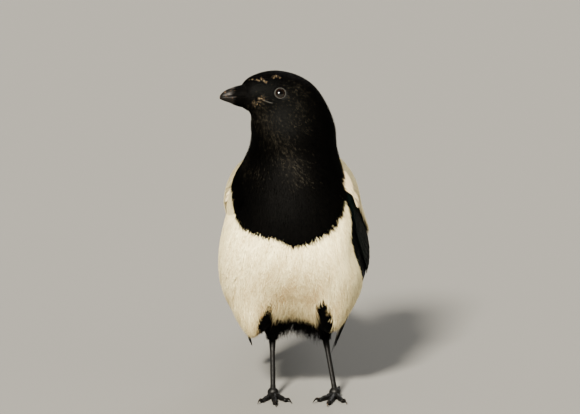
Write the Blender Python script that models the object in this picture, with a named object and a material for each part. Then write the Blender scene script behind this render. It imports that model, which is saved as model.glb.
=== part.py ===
"""A Eurasian magpie, life size, standing upright with its head turned to its right.

The bird faces -Y, +Z is up, and the floor is z = 0. Sizes below are millimetres.
"""

import math
from collections import namedtuple

import bmesh
import bpy
import numpy as np

MM = 0.001
GAP = 0.3
UP = np.array([0.0, 0.0, 1.0])

# Colours, as linear base colour, roughness and metallic
BLACK_PLUMAGE = ((0.012, 0.012, 0.014), 0.6, 0.0)
WHITE_PLUMAGE = ((0.80, 0.76, 0.66), 0.8, 0.0)
BLUE_GLOSS = ((0.010, 0.022, 0.045), 0.3, 0.2)
GREEN_GLOSS = ((0.010, 0.030, 0.022), 0.3, 0.2)
HORN_BLACK = ((0.018, 0.016, 0.015), 0.35, 0.0)
SCALE_BLACK = ((0.016, 0.015, 0.015), 0.45, 0.0)
EYE_BROWN = ((0.012, 0.006, 0.004), 0.05, 0.0)

# The body is a run of rings from the bill's base to the tail's root. Each ring has its centre, the
# way its plane faces (turn to the bird's right, pitch above level) and its four half sizes. A low
# power makes that half of the ring more pointed.
Ring = namedtuple("Ring", "x y z turn pitch back front side back_power front_power")
RINGS = [
    Ring(-34.8, -30.2, 214.4, 73, 4, 7.0, 7.0, 6.2, 2.0, 2.0),
    Ring(-29.6, -28.6, 216.6, 73, 14, 11.6, 11.4, 10.2, 2.0, 2.0),
    Ring(-18.2, -25.1, 217.0, 73, 40, 17.6, 17.8, 14.6, 2.1, 2.0),
    Ring(-6.8, -21.6, 209.8, 73, 65, 24.0, 23.6, 18.6, 2.1, 2.0),
    Ring(0.4, -19.0, 192.0, 66, 88, 28.4, 28.4, 25.0, 2.0, 2.0),
    Ring(0.6, -15.0, 176.0, 40, 88, 28.5, 29.0, 29.6, 2.0, 2.0),
    Ring(-1.0, -14.0, 160.0, 14, 80, 32.0, 34.0, 35.0, 2.0, 2.1),
    Ring(-0.6, -16.0, 141.0, 3, 68, 44.0, 37.0, 40.8, 1.9, 2.1),
    Ring(0.0, -15.0, 119.5, 0, 57, 56.0, 36.0, 47.4, 1.7, 2.4),
    Ring(0.0, -1.0, 98.0, 0, 44, 61.0, 34.0, 50.4, 1.6, 2.8),
    Ring(0.0, 20.0, 83.5, 0, 34, 56.0, 33.0, 47.5, 1.6, 2.8),
    Ring(0.0, 46.0, 82.0, 0, 26, 42.0, 25.0, 35.0, 1.8, 2.2),
    Ring(0.0, 68.0, 84.0, 0, 18, 25.0, 19.0, 25.0, 2.0, 2.0),
    Ring(0.0, 90.0, 81.0, 0, 10, 12.0, 11.0, 16.0, 2.0, 2.0),
]
NECK_TOP = 4.0
NECK_FOOT = 7.0
TAIL_ROOT = 13.0

# White flank feathers hang as two rounded lobes in front of the thighs
LOBE_DROP_LEFT = 14.0
LOBE_DROP_RIGHT = 18.0
LOBE_OUT = 29.0
LOBE_BACK = 2.0
LOBE_WIDE = 13.0
LOBE_LONG = 24.0

# The head's own axes: f runs forward along the bill, from a centre between the eyes
HEAD_TURN = math.radians(73)
HEAD_CENTRE = np.array([-8.0, -22.0, 214.6])
HEAD_FORWARD = np.array([-math.sin(HEAD_TURN), -math.cos(HEAD_TURN), 0.0])
HEAD_LEFT = np.array([math.cos(HEAD_TURN), -math.sin(HEAD_TURN), 0.0])

# The eye looks a little forward and up. Its lids lie LID_AHEAD in front of the eyeball's centre.
EYE_RADIUS = 4.2
EYE_FACING = np.array([0.14, 1.0, 0.30]) / math.hypot(0.14, 1.0, 0.30)
LID_CENTRE = np.array([4.8, 15.7, 3.3])
LID_AHEAD = 3.5
EYE_OPENING = 3.15
LID_RADIUS = 3.5
LID_TUBE = 0.45

BILL_BASE = 28.4
BILL_TIP = 43.0
MOUTH_UP = 0.8
GAPE_CORNER = 6.0
GAPE_DROP = 3.4
MOUTH_SLIT = 0.5

# The folded wing lies on a curved sheet beside the body. Each row of the sheet's table has the
# distance behind the shoulder, the sheet's half width and its half depth towards the back.
WING_SLOPE = math.radians(43)
WING_ORIGIN = np.array([0.0, 0.0, 126.0])
WRIST_AT = -25.0
WING_SHEET = [
    (-40.0, 30.5, 31.0),
    (-25.0, 34.5, 36.0),
    (0.0, 37.5, 40.5),
    (20.0, 41.5, 43.0),
    (45.0, 46.0, 42.5),
    (70.0, 43.0, 39.0),
    (100.0, 37.5, 34.0),
    (130.0, 31.0, 28.5),
    (165.0, 24.5, 23.0),
]
# The right wing is held this much closer to the body at the middle of its length
TUCK = {"left": 0.0, "right": 5.5}
TUCK_AT = [-15.0, 15.0, 70.0, 140.0]
TUCK_SHARE = [0.0, 1.0, 1.0, 0.0]
BED_DEPTH = 1.4
VANE_THICK = 0.55
VANE_TIP_THICK = 0.3

# Tail: twelve feathers, the middle pair on top and longest
TAIL_START = np.array([0.0, 90.0, 81.0])
TAIL_DROOP = math.radians(10)
TAIL_LENGTH = 232.0
TAIL_STEP_SHORTER = 21.0
TAIL_PAIRS = 6
TAIL_VANE_HALF = 11.0
TAIL_FAN = 3.2
TAIL_PITCH = 0.95

# Legs: ankle and foot joints of each side, and the toes that leave the foot
LEGS = {
    "left": {"hip": (19.0, 8.0, 78.0), "ankle": (22.5, 27.0, 39.0), "foot": (29.0, 6.0, 6.0), "swing": 8.0},
    "right": {"hip": (-15.0, 8.0, 78.0), "ankle": (-13.5, 27.0, 39.0), "foot": (-13.0, 6.0, 6.0), "swing": -3.0},
}
THIGH_TOP_RADIUS = 13.5
THIGH_FOOT_RADIUS = 3.6
TARSUS_RADIUS = 1.75
PALM_RADIUS = 3.8
PAD_SINK = 0.3
Toe = namedtuple("Toe", "name bearing length radius claw")
TOES = [
    Toe("inner", 24, 20.0, 1.9, 8.0),
    Toe("middle", 0, 28.0, 2.0, 9.0),
    Toe("outer", -24, 21.0, 1.8, 8.0),
    Toe("hind", 180, 17.0, 2.1, 11.0),
]
CLAW_CLEAR = 0.5
CLAW_RAISED = 0.4
CLAW_ROOT_SHARE = 0.62
CLAW_TIP_RADIUS = 0.22


def clear_scene():
    for old in list(bpy.data.objects):
        bpy.data.objects.remove(old)


def material(name, finish):
    colour, roughness, metallic = finish
    made = bpy.data.materials.new(name)
    made.use_nodes = True
    shader = made.node_tree.nodes["Principled BSDF"]
    shader.inputs["Base Color"].default_value = (*colour, 1.0)
    shader.inputs["Roughness"].default_value = roughness
    shader.inputs["Metallic"].default_value = metallic
    return made


def solid(name, points, faces, finish):
    """A mesh object from millimetre points and triangle or quad faces."""
    mesh = bpy.data.meshes.new(name)
    mesh.from_pydata([tuple(p) for p in np.asarray(points) * MM], [], [tuple(f) for f in faces])
    mesh.update()
    made = bpy.data.objects.new(name, mesh)
    made.data.materials.append(finish)
    bpy.context.scene.collection.objects.link(made)
    return made


def through(knots, values, at):
    """A smooth curve through values at the rising knots, read at the points in at."""
    knots = np.asarray(knots, float)
    values = np.asarray(values, float)
    at = np.clip(np.asarray(at, float), knots[0], knots[-1])
    steps = np.diff(knots)
    slopes = np.diff(values) / steps
    tangents = np.concatenate([slopes[:1], (slopes[:-1] + slopes[1:]) / 2, slopes[-1:]])
    i = np.clip(np.searchsorted(knots, at, side="right") - 1, 0, len(steps) - 1)
    h = steps[i]
    t = (at - knots[i]) / h
    return (
        values[i] * (1 + 2 * t) * (1 - t) ** 2
        + values[i + 1] * t * t * (3 - 2 * t)
        + tangents[i] * h * t * (1 - t) ** 2
        - tangents[i + 1] * h * t * t * (1 - t)
    )


def ring_frame(along):
    """Centre, direction towards the head, dorsal and left directions of the rings at along."""
    knots = np.arange(len(RINGS))
    column = {name: through(knots, [getattr(r, name) for r in RINGS], along) for name in Ring._fields}
    turn, pitch = np.radians(column["turn"]), np.radians(column["pitch"])
    zero = np.zeros_like(turn)
    forward = np.stack([-np.sin(turn), -np.cos(turn), zero], -1)
    left = np.stack([np.cos(turn), -np.sin(turn), zero], -1)
    ahead = np.cos(pitch)[..., None] * forward + np.sin(pitch)[..., None] * UP
    dorsal = -np.sin(pitch)[..., None] * forward + np.cos(pitch)[..., None] * UP
    centre = np.stack([column["x"], column["y"], column["z"]], -1)
    return column, centre, ahead, dorsal, left


def body_surface(along, angle):
    """Points of the plumage's outer surface. angle is 0 at the back and pi / 2 at the left side."""
    column, centre, _, dorsal, left = ring_frame(along)
    cosine, sine = np.cos(angle), np.sin(angle)
    rear = cosine >= 0
    power = 2 / np.where(rear, column["back_power"], column["front_power"])
    depth = np.where(rear, column["back"], column["front"])
    rise = np.sign(cosine) * np.abs(cosine) ** power * depth
    reach = np.sign(sine) * np.abs(sine) ** power * column["side"]
    points = centre + left * reach[..., None] + dorsal * rise[..., None]
    under = np.clip(-cosine, 0, 1)
    across = (np.abs(points[..., 0]) - LOBE_OUT) / LOBE_WIDE
    length = (points[..., 1] - LOBE_BACK) / LOBE_LONG
    low = np.clip((100.0 - points[..., 2]) / 30.0, 0, 1)
    drop = np.where(points[..., 0] > 0, LOBE_DROP_LEFT, LOBE_DROP_RIGHT)
    points[..., 2] -= drop * under * low * np.exp(-across**2 - length**2)
    return points


def cap_faces(first, sides):
    """Triangles that close a ring of points by strips between its two halves."""
    faces, low, high = [], 0, sides - 1
    while high - low > 1:
        faces.append((first + low, first + low + 1, first + high))
        low += 1
        if high - low > 1:
            faces.append((first + low, first + high - 1, first + high))
            high -= 1
    return faces


def loft(name, rings, finish):
    """A closed tube through rings, an array of ring by point by xyz."""
    rings = np.asarray(rings, float)
    count, sides = rings.shape[:2]
    faces = cap_faces(0, sides) + cap_faces((count - 1) * sides, sides)
    for i in range(count - 1):
        for j in range(sides):
            a, b = i * sides + j, i * sides + (j + 1) % sides
            faces += [(a, b, b + sides), (a, b + sides, a + sides)]
    made = solid(name, rings.reshape(-1, 3), faces, finish)
    face_outwards(made)
    return made


def face_outwards(obj):
    work = bmesh.new()
    work.from_mesh(obj.data)
    bmesh.ops.recalc_face_normals(work, faces=work.faces)
    work.to_mesh(obj.data)
    work.free()


def body_piece(name, start, end, rings, sides, finish):
    """The stretch of the body between two ring positions, closed by flat ends."""
    along = np.linspace(start, end, rings)[:, None]
    angle = np.linspace(0, 2 * math.pi, sides, endpoint=False)[None, :]
    along, angle = np.broadcast_arrays(along, angle)
    return loft(name, body_surface(along, angle), finish)


def after(along, distance):
    """The ring position that lies distance further towards the tail."""
    _, here, _, _, _ = ring_frame(np.array([along - 0.05, along + 0.05]))
    return along + distance * 0.1 / np.linalg.norm(here[1] - here[0])


def ball(name, centre, radius, finish, segments=16, rings=10):
    made_mesh = bpy.data.meshes.new(name)
    work = bmesh.new()
    bmesh.ops.create_uvsphere(work, u_segments=segments, v_segments=rings, radius=radius * MM)
    bmesh.ops.translate(work, verts=work.verts, vec=[c * MM for c in centre])
    work.to_mesh(made_mesh)
    work.free()
    made = bpy.data.objects.new(name, made_mesh)
    made.data.materials.append(finish)
    bpy.context.scene.collection.objects.link(made)
    return made


def apply_modifiers(obj):
    graph = bpy.context.evaluated_depsgraph_get()
    mesh = bpy.data.meshes.new_from_object(obj.evaluated_get(graph))
    obj.modifiers.clear()
    obj.data = mesh


def largest_only(obj):
    """Keeps the closed surface with the most volume and drops the rest."""
    work = bmesh.new()
    work.from_mesh(obj.data)
    seen, best, best_size = set(), None, -1.0
    for seed in work.faces:
        if seed in seen:
            continue
        shell, stack = [], [seed]
        seen.add(seed)
        while stack:
            face = stack.pop()
            shell.append(face)
            for edge in face.edges:
                for other in edge.link_faces:
                    if other not in seen:
                        seen.add(other)
                        stack.append(other)
        size = 0.0
        for face in shell:
            base = face.verts[0].co
            for a, b in zip(face.verts[1:-1], face.verts[2:]):
                size += base.dot(a.co.cross(b.co)) / 6
        if size > best_size:
            best, best_size = shell, size
    keep = set(best)
    bmesh.ops.delete(work, geom=[f for f in work.faces if f not in keep], context="FACES")
    work.to_mesh(obj.data)
    work.free()


def combine(obj, others, operation):
    """Joins the objects in others to obj, or cuts them from it, then removes them."""
    group = bpy.data.collections.new(obj.name + "_pieces")
    for other in others:
        bpy.context.scene.collection.objects.unlink(other)
        group.objects.link(other)
    bpy.context.scene.collection.children.link(group)
    boolean = obj.modifiers.new("combine", "BOOLEAN")
    boolean.operation = operation
    boolean.operand_type = "COLLECTION"
    boolean.collection = group
    boolean.solver = "MANIFOLD"
    apply_modifiers(obj)
    for other in others:
        bpy.data.objects.remove(other)
    bpy.data.collections.remove(group)
    largest_only(obj)
    return obj


def head_point(forward, left, up):
    return HEAD_CENTRE + forward * HEAD_FORWARD + left * HEAD_LEFT + up * UP


def eye_point(sign, ahead, along, above):
    """A point near one eye, from its centre: ahead of it, along the head and above."""
    beside = np.cross(EYE_FACING, [0.0, 0.0, 1.0])
    beside /= np.linalg.norm(beside)
    higher = np.cross(beside, EYE_FACING)
    centre = LID_CENTRE - LID_AHEAD * EYE_FACING
    forward, left, up = centre + ahead * EYE_FACING + along * beside + above * higher
    return head_point(forward, sign * left, up)


# Wing and tail vanes


def wing_sheet(side, back, across, lift):
    """A point of the wing's sheet. back is the distance behind the wrist, across is measured up
    the side from its widest line, and lift is the height above the sheet."""
    sign = 1.0 if side == "left" else -1.0
    at = np.asarray(back, float) + WRIST_AT
    knots = [row[0] for row in WING_SHEET]
    tuck = TUCK[side] * np.interp(at, TUCK_AT, TUCK_SHARE)
    wide = through(knots, [row[1] for row in WING_SHEET], at) - tuck
    deep = through(knots, [row[2] for row in WING_SHEET], at) - tuck / 2
    angle = math.pi / 2 - np.asarray(across, float) / ((wide + deep) / 2)
    rearward = np.array([0.0, math.cos(WING_SLOPE), -math.sin(WING_SLOPE)])
    dorsal = np.array([0.0, math.sin(WING_SLOPE), math.cos(WING_SLOPE)])
    outward = np.array([sign, 0.0, 0.0])
    sine, cosine = np.sin(angle), np.cos(angle)
    normal = (sine * deep)[..., None] * outward + (cosine * wide)[..., None] * dorsal
    normal /= np.linalg.norm(normal, axis=-1, keepdims=True)
    base = WING_ORIGIN + at[..., None] * rearward
    base = base + (wide * sine)[..., None] * outward + (deep * cosine)[..., None] * dorsal
    return base + np.asarray(lift, float)[..., None] * normal


def tail_sheet(side, back, across, lift):
    """A point of the tail's flat sheet, measured from the tail's root."""
    rearward = np.array([0.0, math.cos(TAIL_DROOP), -math.sin(TAIL_DROOP)])
    above = np.array([0.0, math.sin(TAIL_DROOP), math.cos(TAIL_DROOP)])
    out = np.array([1.0, 0.0, 0.0])
    back, across, lift = np.broadcast_arrays(back, across, lift)
    return TAIL_START + back[..., None] * rearward + across[..., None] * out + lift[..., None] * above


def feather_outline(t, root_share, fullest, tip_share):
    """Half width along a feather as a share of its greatest: a quick rise from the quill, a long
    even blade and a rounded tip."""
    rise = root_share + (1 - root_share) * np.sin(np.clip(t / fullest, 0, 1) * math.pi / 2)
    closing = np.clip((t - 0.72) / 0.28, 0, 1)
    return rise * np.sqrt(np.clip(1 - closing**2 * (1 - tip_share**2), 0, 1))


Vane = namedtuple("Vane", "start end half lifts slope bow rows ridge")


def vane(name, sheet, side, spec, finish):
    """One feather: a thin plate on a sheet from spec.start to spec.end, both (back, across). Its
    lifts are the heights at root, middle and tip. slope raises its leading edge like a shingle."""
    t = np.linspace(0, 1, spec.rows)
    columns = np.array([-1.0, 0.0, 1.0]) if spec.ridge else np.array([-1.0, 1.0])
    width = spec.half * feather_outline(t, 0.45, 0.35, 0.3)
    back = spec.start[0] + (spec.end[0] - spec.start[0]) * t
    across = spec.start[1] + (spec.end[1] - spec.start[1]) * t + spec.bow * np.sin(math.pi * t)
    lift = through([0.0, 0.45, 1.0], spec.lifts, t)
    thick = VANE_THICK + (VANE_TIP_THICK - VANE_THICK) * np.clip((t - 0.8) / 0.2, 0, 1)
    grid_across = across[:, None] + width[:, None] * columns
    grid_back = back[:, None] - 0.25 * width[:, None] * np.abs(columns) * (t[:, None] > 0.6)
    grid_lift = lift[:, None] - spec.slope * width[:, None] * columns
    grid_lift = grid_lift + spec.ridge * (1 - np.abs(columns))
    faces_at = []
    for half in (0.5, -0.5):
        faces_at.append(sheet(side, grid_back, grid_across, grid_lift + half * thick[:, None]))
    rows, wide = grid_back.shape
    points = np.concatenate([faces_at[0].reshape(-1, 3), faces_at[1].reshape(-1, 3)])
    count = rows * wide
    faces = []
    for i in range(rows - 1):
        for j in range(wide - 1):
            a = i * wide + j
            b, c, d = a + 1, a + wide, a + wide + 1
            faces += [(a, b, d), (a, d, c)]
            faces += [(count + a, count + d, count + b), (count + a, count + c, count + d)]
    rim = [j for j in range(wide)]
    rim += [i * wide + wide - 1 for i in range(1, rows)]
    rim += [(rows - 1) * wide + j for j in range(wide - 2, -1, -1)]
    rim += [i * wide for i in range(rows - 2, 0, -1)]
    for a, b in zip(rim, rim[1:] + rim[:1]):
        faces += [(a, count + a, b), (b, count + a, count + b)]
    made = solid(name, points, faces, finish)
    face_outwards(made)
    return made


def spread(first, last, count):
    """count evenly spaced values from first to last, as an array with one row for each."""
    return np.linspace(np.asarray(first, float), np.asarray(last, float), count)


def wing_vanes():
    """Every feather of one folded wing, from the lowest tier to the highest."""
    vanes = []
    for k, (root, tip) in enumerate(zip(spread((30, -15), (48, -6), 6), spread((168, -9), (146, 6), 6))):
        longer = 20.0 * math.sin(math.pi * min(1.0, (k + 0.6) / 3.4) / 2) - 5.0 * k
        vanes.append(Vane(root, (tip[0] + longer, tip[1]), 6.6, (2.4, 1.9, 1.6), 0.26, -1.5, 5, 0.0))
    for root, tip in zip(spread((36, -8), (26, 24), 8), spread((128, -11), (104, 25), 8)):
        vanes.append(Vane(root, tip, 8.6, (3.0, 4.3, 3.6), 0.19, 0.0, 5, 0.0))
    for root, tip in zip(spread((14, -11), (20, -8), 3), spread((74, -17.5), (66, -10), 3)):
        vanes.append(Vane(root, tip, 4.8, (3.2, 5.6, 5.2), 0.26, -1.0, 4, 0.0))
    for root, tip in zip(spread((26, -7), (20, 19), 6), spread((78, -7), (66, 22), 6)):
        vanes.append(Vane(root, tip, 7.2, (3.4, 6.4, 6.0), 0.19, 0.0, 4, 0.0))
    for root, tip in zip(spread((2, -8), (6, -5), 2), spread((58, -17), (46, -12), 2)):
        vanes.append(Vane(root, tip, 4.6, (2.6, 6.4, 6.6), 0.26, -1.0, 4, 0.0))
    for root, tip in zip(spread((9, -6), (8, 15), 4), spread((48, -6), (42, 16), 4)):
        vanes.append(Vane(root, tip, 7.4, (3.4, 7.6, 7.3), 0.19, 0.0, 4, 0.0))
    for root, tip in zip(spread((-4, 1), (-3, 12), 2), spread((26, -3), (24, 10), 2)):
        vanes.append(Vane(root, tip, 8.6, (2.0, 7.4, 8.2), 0.12, 0.0, 4, 0.0))
    return vanes


def scapular_vanes():
    """The white shoulder feathers, in two overlapping tiers along the wing's upper edge."""
    vanes = []
    for root, tip in zip(spread((14, 19), (20, 36), 4), spread((84, 20), (88, 33), 4)):
        vanes.append(Vane(root, tip, 7.4, (3.0, 7.4, 6.4), 0.2, 1.0, 4, 0.0))
    for root, tip in zip(spread((-4, 15), (2, 36), 4), spread((50, 17), (58, 36), 4)):
        vanes.append(Vane(root, tip, 8.0, (2.0, 8.6, 7.6), 0.18, 1.0, 4, 0.0))
    return vanes


def wing_core(name, side, finish):
    """The wing's fleshy arm under the coverts: a rounded pad on the sheet."""
    back = np.array([-9.0, -5.0, 3.0, 16.0, 30.0, 45.0, 57.0, 67.3])
    low = np.array([6.0, -3.0, -9.0, -13.0, -14.5, -14.0, -11.0, -5.4])
    high = np.array([14.0, 27.0, 35.0, 39.0, 38.0, 33.0, 26.0, 16.0])
    full = np.array([1.0, 3.2, 5.2, 6.4, 6.2, 5.0, 3.6, 2.0])
    share = np.linspace(0, 1, 5)
    across = low[:, None] + (high - low)[:, None] * share
    back = np.broadcast_to(back[:, None], across.shape)
    crown = np.sin(math.pi * (0.08 + 0.84 * share)) ** 0.6
    upper = wing_sheet(side, back, across, 0.6 + full[:, None] * crown)
    lower = wing_sheet(side, back, across, np.full(across.shape, 0.1))
    return loft(name, np.concatenate([upper, lower[:, ::-1]], axis=1), finish)


def wing_bed(name, side, finish):
    """The room that the folded wing takes from the body's plumage: everything above its sheet."""
    back = np.array([-12.0, -8.0, -3.0, 4.0, 20.0, 40.0, 60.0, 80.0, 100.0, 120.0, 140.0])
    low = np.array([0.0, -8.0, -11.5, -15.0, -19.0, -23.0, -25.5, -25.0, -23.0, -22.0, -22.0])
    high = np.array([18.0, 28.0, 38.0, 44.0, 49.0, 51.0, 50.0, 46.0, 42.0, 38.0, 34.0])
    across = low[:, None] + (high - low)[:, None] * np.linspace(0, 1, 9)
    back = np.broadcast_to(back[:, None], across.shape)
    upper = wing_sheet(side, back, across, np.full(across.shape, 25.0))
    lower = wing_sheet(side, back, across, np.full(across.shape, -BED_DEPTH))
    return loft(name, np.concatenate([upper, lower[:, ::-1]], axis=1), finish)


def make_wing(side, black, white):
    name = "wing_" + side
    made = wing_core(name, side, black)
    pieces = [
        vane(f"{name}_vane_{i}", wing_sheet, side, spec, black) for i, spec in enumerate(wing_vanes())
    ]
    pieces += [
        vane(f"{name}_scapular_{i}", wing_sheet, side, spec, white)
        for i, spec in enumerate(scapular_vanes())
    ]
    return combine(made, pieces, "UNION")


def make_tail(black):
    """A cone of coverts with twelve overlapping tail feathers and a tier of coverts above and
    below."""
    places = np.array([GAP, 14.0, 30.0, 48.0])
    sizes = [(16.0, 12.0, 11.0), (15.0, 9.5, 9.0), (13.5, 7.4, 6.6), (9.0, 3.4, 3.2)]
    angle = np.linspace(0, 2 * math.pi, 20, endpoint=False)
    rings = []
    for place, (side, above, below) in zip(places, sizes):
        rise = np.where(np.cos(angle) > 0, above, below) * np.cos(angle)
        rings.append(tail_sheet("", np.full_like(angle, place), side * np.sin(angle), rise))
    core = loft("tail", rings, black)
    pieces = []
    for pair in range(TAIL_PAIRS):
        length = TAIL_LENGTH - TAIL_STEP_SHORTER * pair**1.12
        lift = 2.2 - TAIL_PITCH * pair
        for sign in (-1, 1):
            offset = sign * (1.4 + TAIL_FAN * pair)
            own_lift = lift + (0.42 if sign > 0 else 0.0)
            spec = Vane((12.0, sign * (0.8 + 1.1 * pair)), (length, offset), TAIL_VANE_HALF - 0.5 * pair,
                        (own_lift, own_lift - 0.4, own_lift - 1.2), 0.0, 0.0, 6, 0.0)
            pieces.append(vane(f"tail_feather_{pair}_{sign}", tail_sheet, "", spec, black))
    return combine(core, pieces, "UNION")


def make_head(black):
    head = body_piece("head", 0.0, NECK_TOP, 15, 24, black)
    cutters = []
    for sign in (-1, 1):
        cutters.append(ball(f"socket_{sign}", eye_point(sign, 0, 0, 0), EYE_RADIUS + GAP, black))
        cutters.append(eye_opening(f"opening_{sign}", sign, black))
    cutters.append(mouth_cutter())
    combine(head, cutters, "DIFFERENCE")
    rings = [lid_ring(f"lid_{sign}", sign, black) for sign in (-1, 1)]
    return combine(head, rings, "UNION")


def mouth_line(forward):
    """Height of the mouth line above the head's centre."""
    back = np.clip((22.0 - forward) / (22.0 - GAPE_CORNER), 0, 1)
    return MOUTH_UP - GAPE_DROP * back**1.3


def mouth_cutter():
    """A thin curved slab that opens the line of the mouth as far back as the gape's corner."""
    forward = np.linspace(GAPE_CORNER, BILL_BASE + 6.0, 8)
    rings = []
    for f in forward:
        middle = mouth_line(f)
        rings.append([
            head_point(f, -30, middle - MOUTH_SLIT / 2),
            head_point(f, 30, middle - MOUTH_SLIT / 2),
            head_point(f, 30, middle + MOUTH_SLIT / 2),
            head_point(f, -30, middle + MOUTH_SLIT / 2),
        ])
    return loft("mouth", rings, bpy.data.materials["black_plumage"])


def eye_opening(name, sign, finish):
    """The round opening between the lids, from the eyeball out through the skin."""
    angle = np.linspace(0, 2 * math.pi, 18, endpoint=False)
    rings = []
    for ahead in (1.0, LID_AHEAD + 4.0):
        rings.append([
            eye_point(sign, ahead, EYE_OPENING * math.cos(a), EYE_OPENING * math.sin(a)) for a in angle
        ])
    return loft(name, rings, finish)


def lid_ring(name, sign, finish):
    """The bare ring of skin round one eye."""
    turn = np.linspace(0, 2 * math.pi, 18, endpoint=False)
    tube = np.linspace(0, 2 * math.pi, 5, endpoint=False)
    points = []
    for a in turn:
        for b in tube:
            radius = LID_RADIUS + LID_TUBE * math.cos(b)
            ahead = LID_AHEAD + LID_TUBE * math.sin(b)
            points.append(eye_point(sign, ahead, radius * math.cos(a), radius * math.sin(a)))
    faces = []
    for i in range(18):
        for j in range(5):
            a, b = i * 5 + j, i * 5 + (j + 1) % 5
            c, d = (i + 1) % 18 * 5 + j, (i + 1) % 18 * 5 + (j + 1) % 5
            faces += [(a, b, d), (a, d, c)]
    made = solid(name, points, faces, finish)
    face_outwards(made)
    return made


# Bill: half widths and depths at stations along it, from base to tip
BILL_STATIONS = [
    (0.0, 6.0, 6.0, 7.0),
    (4.0, 5.0, 5.5, 6.2),
    (8.0, 3.9, 4.5, 4.6),
    (11.0, 2.9, 3.4, 3.2),
    (13.0, 1.8, 2.0, 2.0),
    (14.0, 0.7, 0.5, 1.1),
]


def make_bill(half, finish):
    """The upper or lower half of the bill, flat along the mouth line."""
    upper = half == "upper"
    rings = []
    for forward, wide, above, below in BILL_STATIONS:
        at = BILL_BASE + GAP + forward
        hook = 0.9 * (forward / 14.0) ** 4
        middle = mouth_line(at) - hook + (MOUTH_SLIT / 2 if upper else -MOUTH_SLIT / 2)
        depth = above if upper else -below * (0.9 if forward > 13 else 1.0)
        angle = np.linspace(0, math.pi, 9)
        ring = [head_point(at, wide * math.cos(a), middle + depth * math.sin(a) ** 0.85) for a in angle]
        rings.append(ring)
    return loft("bill_" + half, rings, finish)


def leg_loft(name, points, radii, depths, sides, finish):
    """A tube of level rings round leg points, radii across the bird and depths along it."""
    angle = np.linspace(0, 2 * math.pi, sides, endpoint=False)
    rings = []
    for (x, y, z), radius, depth in zip(points, radii, depths):
        ring = np.stack([x + radius * np.cos(angle), y + depth * np.sin(angle), np.full(sides, z)], -1)
        rings.append(ring)
    return loft(name, rings, finish)


def thigh(name, leg, finish, grow):
    hip, ankle = np.array(leg["hip"]), np.array(leg["ankle"])
    share = np.array([0.0, 0.3, 0.55, 0.75, 0.9, 1.0])
    radii = np.array([THIGH_TOP_RADIUS, 12.5, 10.0, 7.6, 5.4, THIGH_FOOT_RADIUS]) + grow
    ankle[2] += GAP / 2 - grow
    points = hip + (ankle - hip) * share[:, None]
    points[:, 1] -= 5.0 * np.sin(math.pi * share)
    return leg_loft(name, points, radii, radii * 1.15, 14, finish)


def make_leg(side, black, scaled, horn):
    leg = LEGS[side]
    ankle, foot = np.array(leg["ankle"]), np.array(leg["foot"])
    thigh("thigh_" + side, leg, black, 0.0)
    share = np.array([0.0, 0.1, 0.3, 0.9, 1.0])
    swell = np.array([2.6, 2.5, TARSUS_RADIUS, TARSUS_RADIUS, 2.2])
    start = ankle - UP * GAP / 2
    end = np.array([foot[0], foot[1], 2 * PALM_RADIUS - PAD_SINK + GAP])
    points = start + (end - start) * share[:, None]
    leg_loft("tarsus_" + side, points, swell, swell * 1.3, 10, scaled)
    palm_centre = (foot[0], foot[1], PALM_RADIUS - PAD_SINK)
    palm = ball("foot_" + side, palm_centre, PALM_RADIUS, scaled, 12, 8)
    toes = [make_toe(side, leg, toe, scaled, horn) for toe in TOES]
    combine(palm, toes, "UNION")
    flatten_floor(palm)
    return palm


def toe_path(side, leg, toe):
    """Centre line of a toe, low along the floor and a little arched at its joints."""
    mirror = -1.0 if side == "left" else 1.0
    bearing = math.radians(toe.bearing * mirror - leg["swing"])
    ahead = np.array([math.sin(bearing), -math.cos(bearing), 0.0])
    start = np.array([leg["foot"][0], leg["foot"][1], 0.0])
    share = np.linspace(0, 1, 7)
    radii = toe.radius * np.linspace(1.12, 0.8, 7)
    rise = radii * math.cos(math.pi / 8) + 0.5 * (1 - share) ** 2
    return start + np.outer(toe.length * share, ahead) + np.outer(rise, UP), radii, ahead


def make_toe(side, leg, toe, scaled, horn):
    points, radii, ahead = toe_path(side, leg, toe)
    radii = radii * (1.0 + 0.13 * np.cos(np.linspace(0, 6 * math.pi, 7)))
    made = upright_tube(f"toe_{side}_{toe.name}", points, radii, ahead, scaled)
    make_claw(side, toe, points[-1], radii[-1], ahead, horn)
    return made


def upright_tube(name, points, radii, ahead, finish):
    """A tube whose rings stand upright across ahead."""
    across = np.cross(ahead, UP)
    angle = np.linspace(0, 2 * math.pi, 8, endpoint=False) + math.pi / 8
    rings = [
        p + np.outer(np.cos(angle) * r, across) + np.outer(np.sin(angle) * r, UP)
        for p, r in zip(points, radii)
    ]
    return loft(name, rings, finish)


def make_claw(side, toe, root, radius, ahead, finish):
    """A curved claw that leaves the toe's end level and turns down to just above the floor."""
    share = np.linspace(0, 1, 6)
    start = root + ahead * GAP + UP * CLAW_RAISED
    drop = (start[2] - CLAW_TIP_RADIUS - CLAW_CLEAR) * share**2.2
    arch = 1.3 * np.sin(math.pi * share)
    points = start + np.outer(toe.claw * share, ahead) + np.outer(arch - drop, UP)
    radii = radius * CLAW_ROOT_SHARE * (1 - share) ** 0.8 + CLAW_TIP_RADIUS
    return upright_tube(f"claw_{side}_{toe.name}", points, radii, ahead, finish)


def flatten_floor(obj):
    """Presses what would sink below the floor flat on it."""
    for vertex in obj.data.vertices:
        if vertex.co.z < 0.0:
            vertex.co.z = 0.0


def centre_on_floor():
    """Moves the whole bird so that its box stands centred on the origin, with the floor at 0."""
    boxes = [[v.co[:] for v in obj.data.vertices] for obj in bpy.data.objects]
    points = np.concatenate([np.array(box) for box in boxes])
    low, high = points.min(axis=0), points.max(axis=0)
    shift = -(low + high) / 2
    shift[2] = -low[2]
    for obj in bpy.data.objects:
        for vertex in obj.data.vertices:
            vertex.co = [c + d for c, d in zip(vertex.co, shift)]


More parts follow.
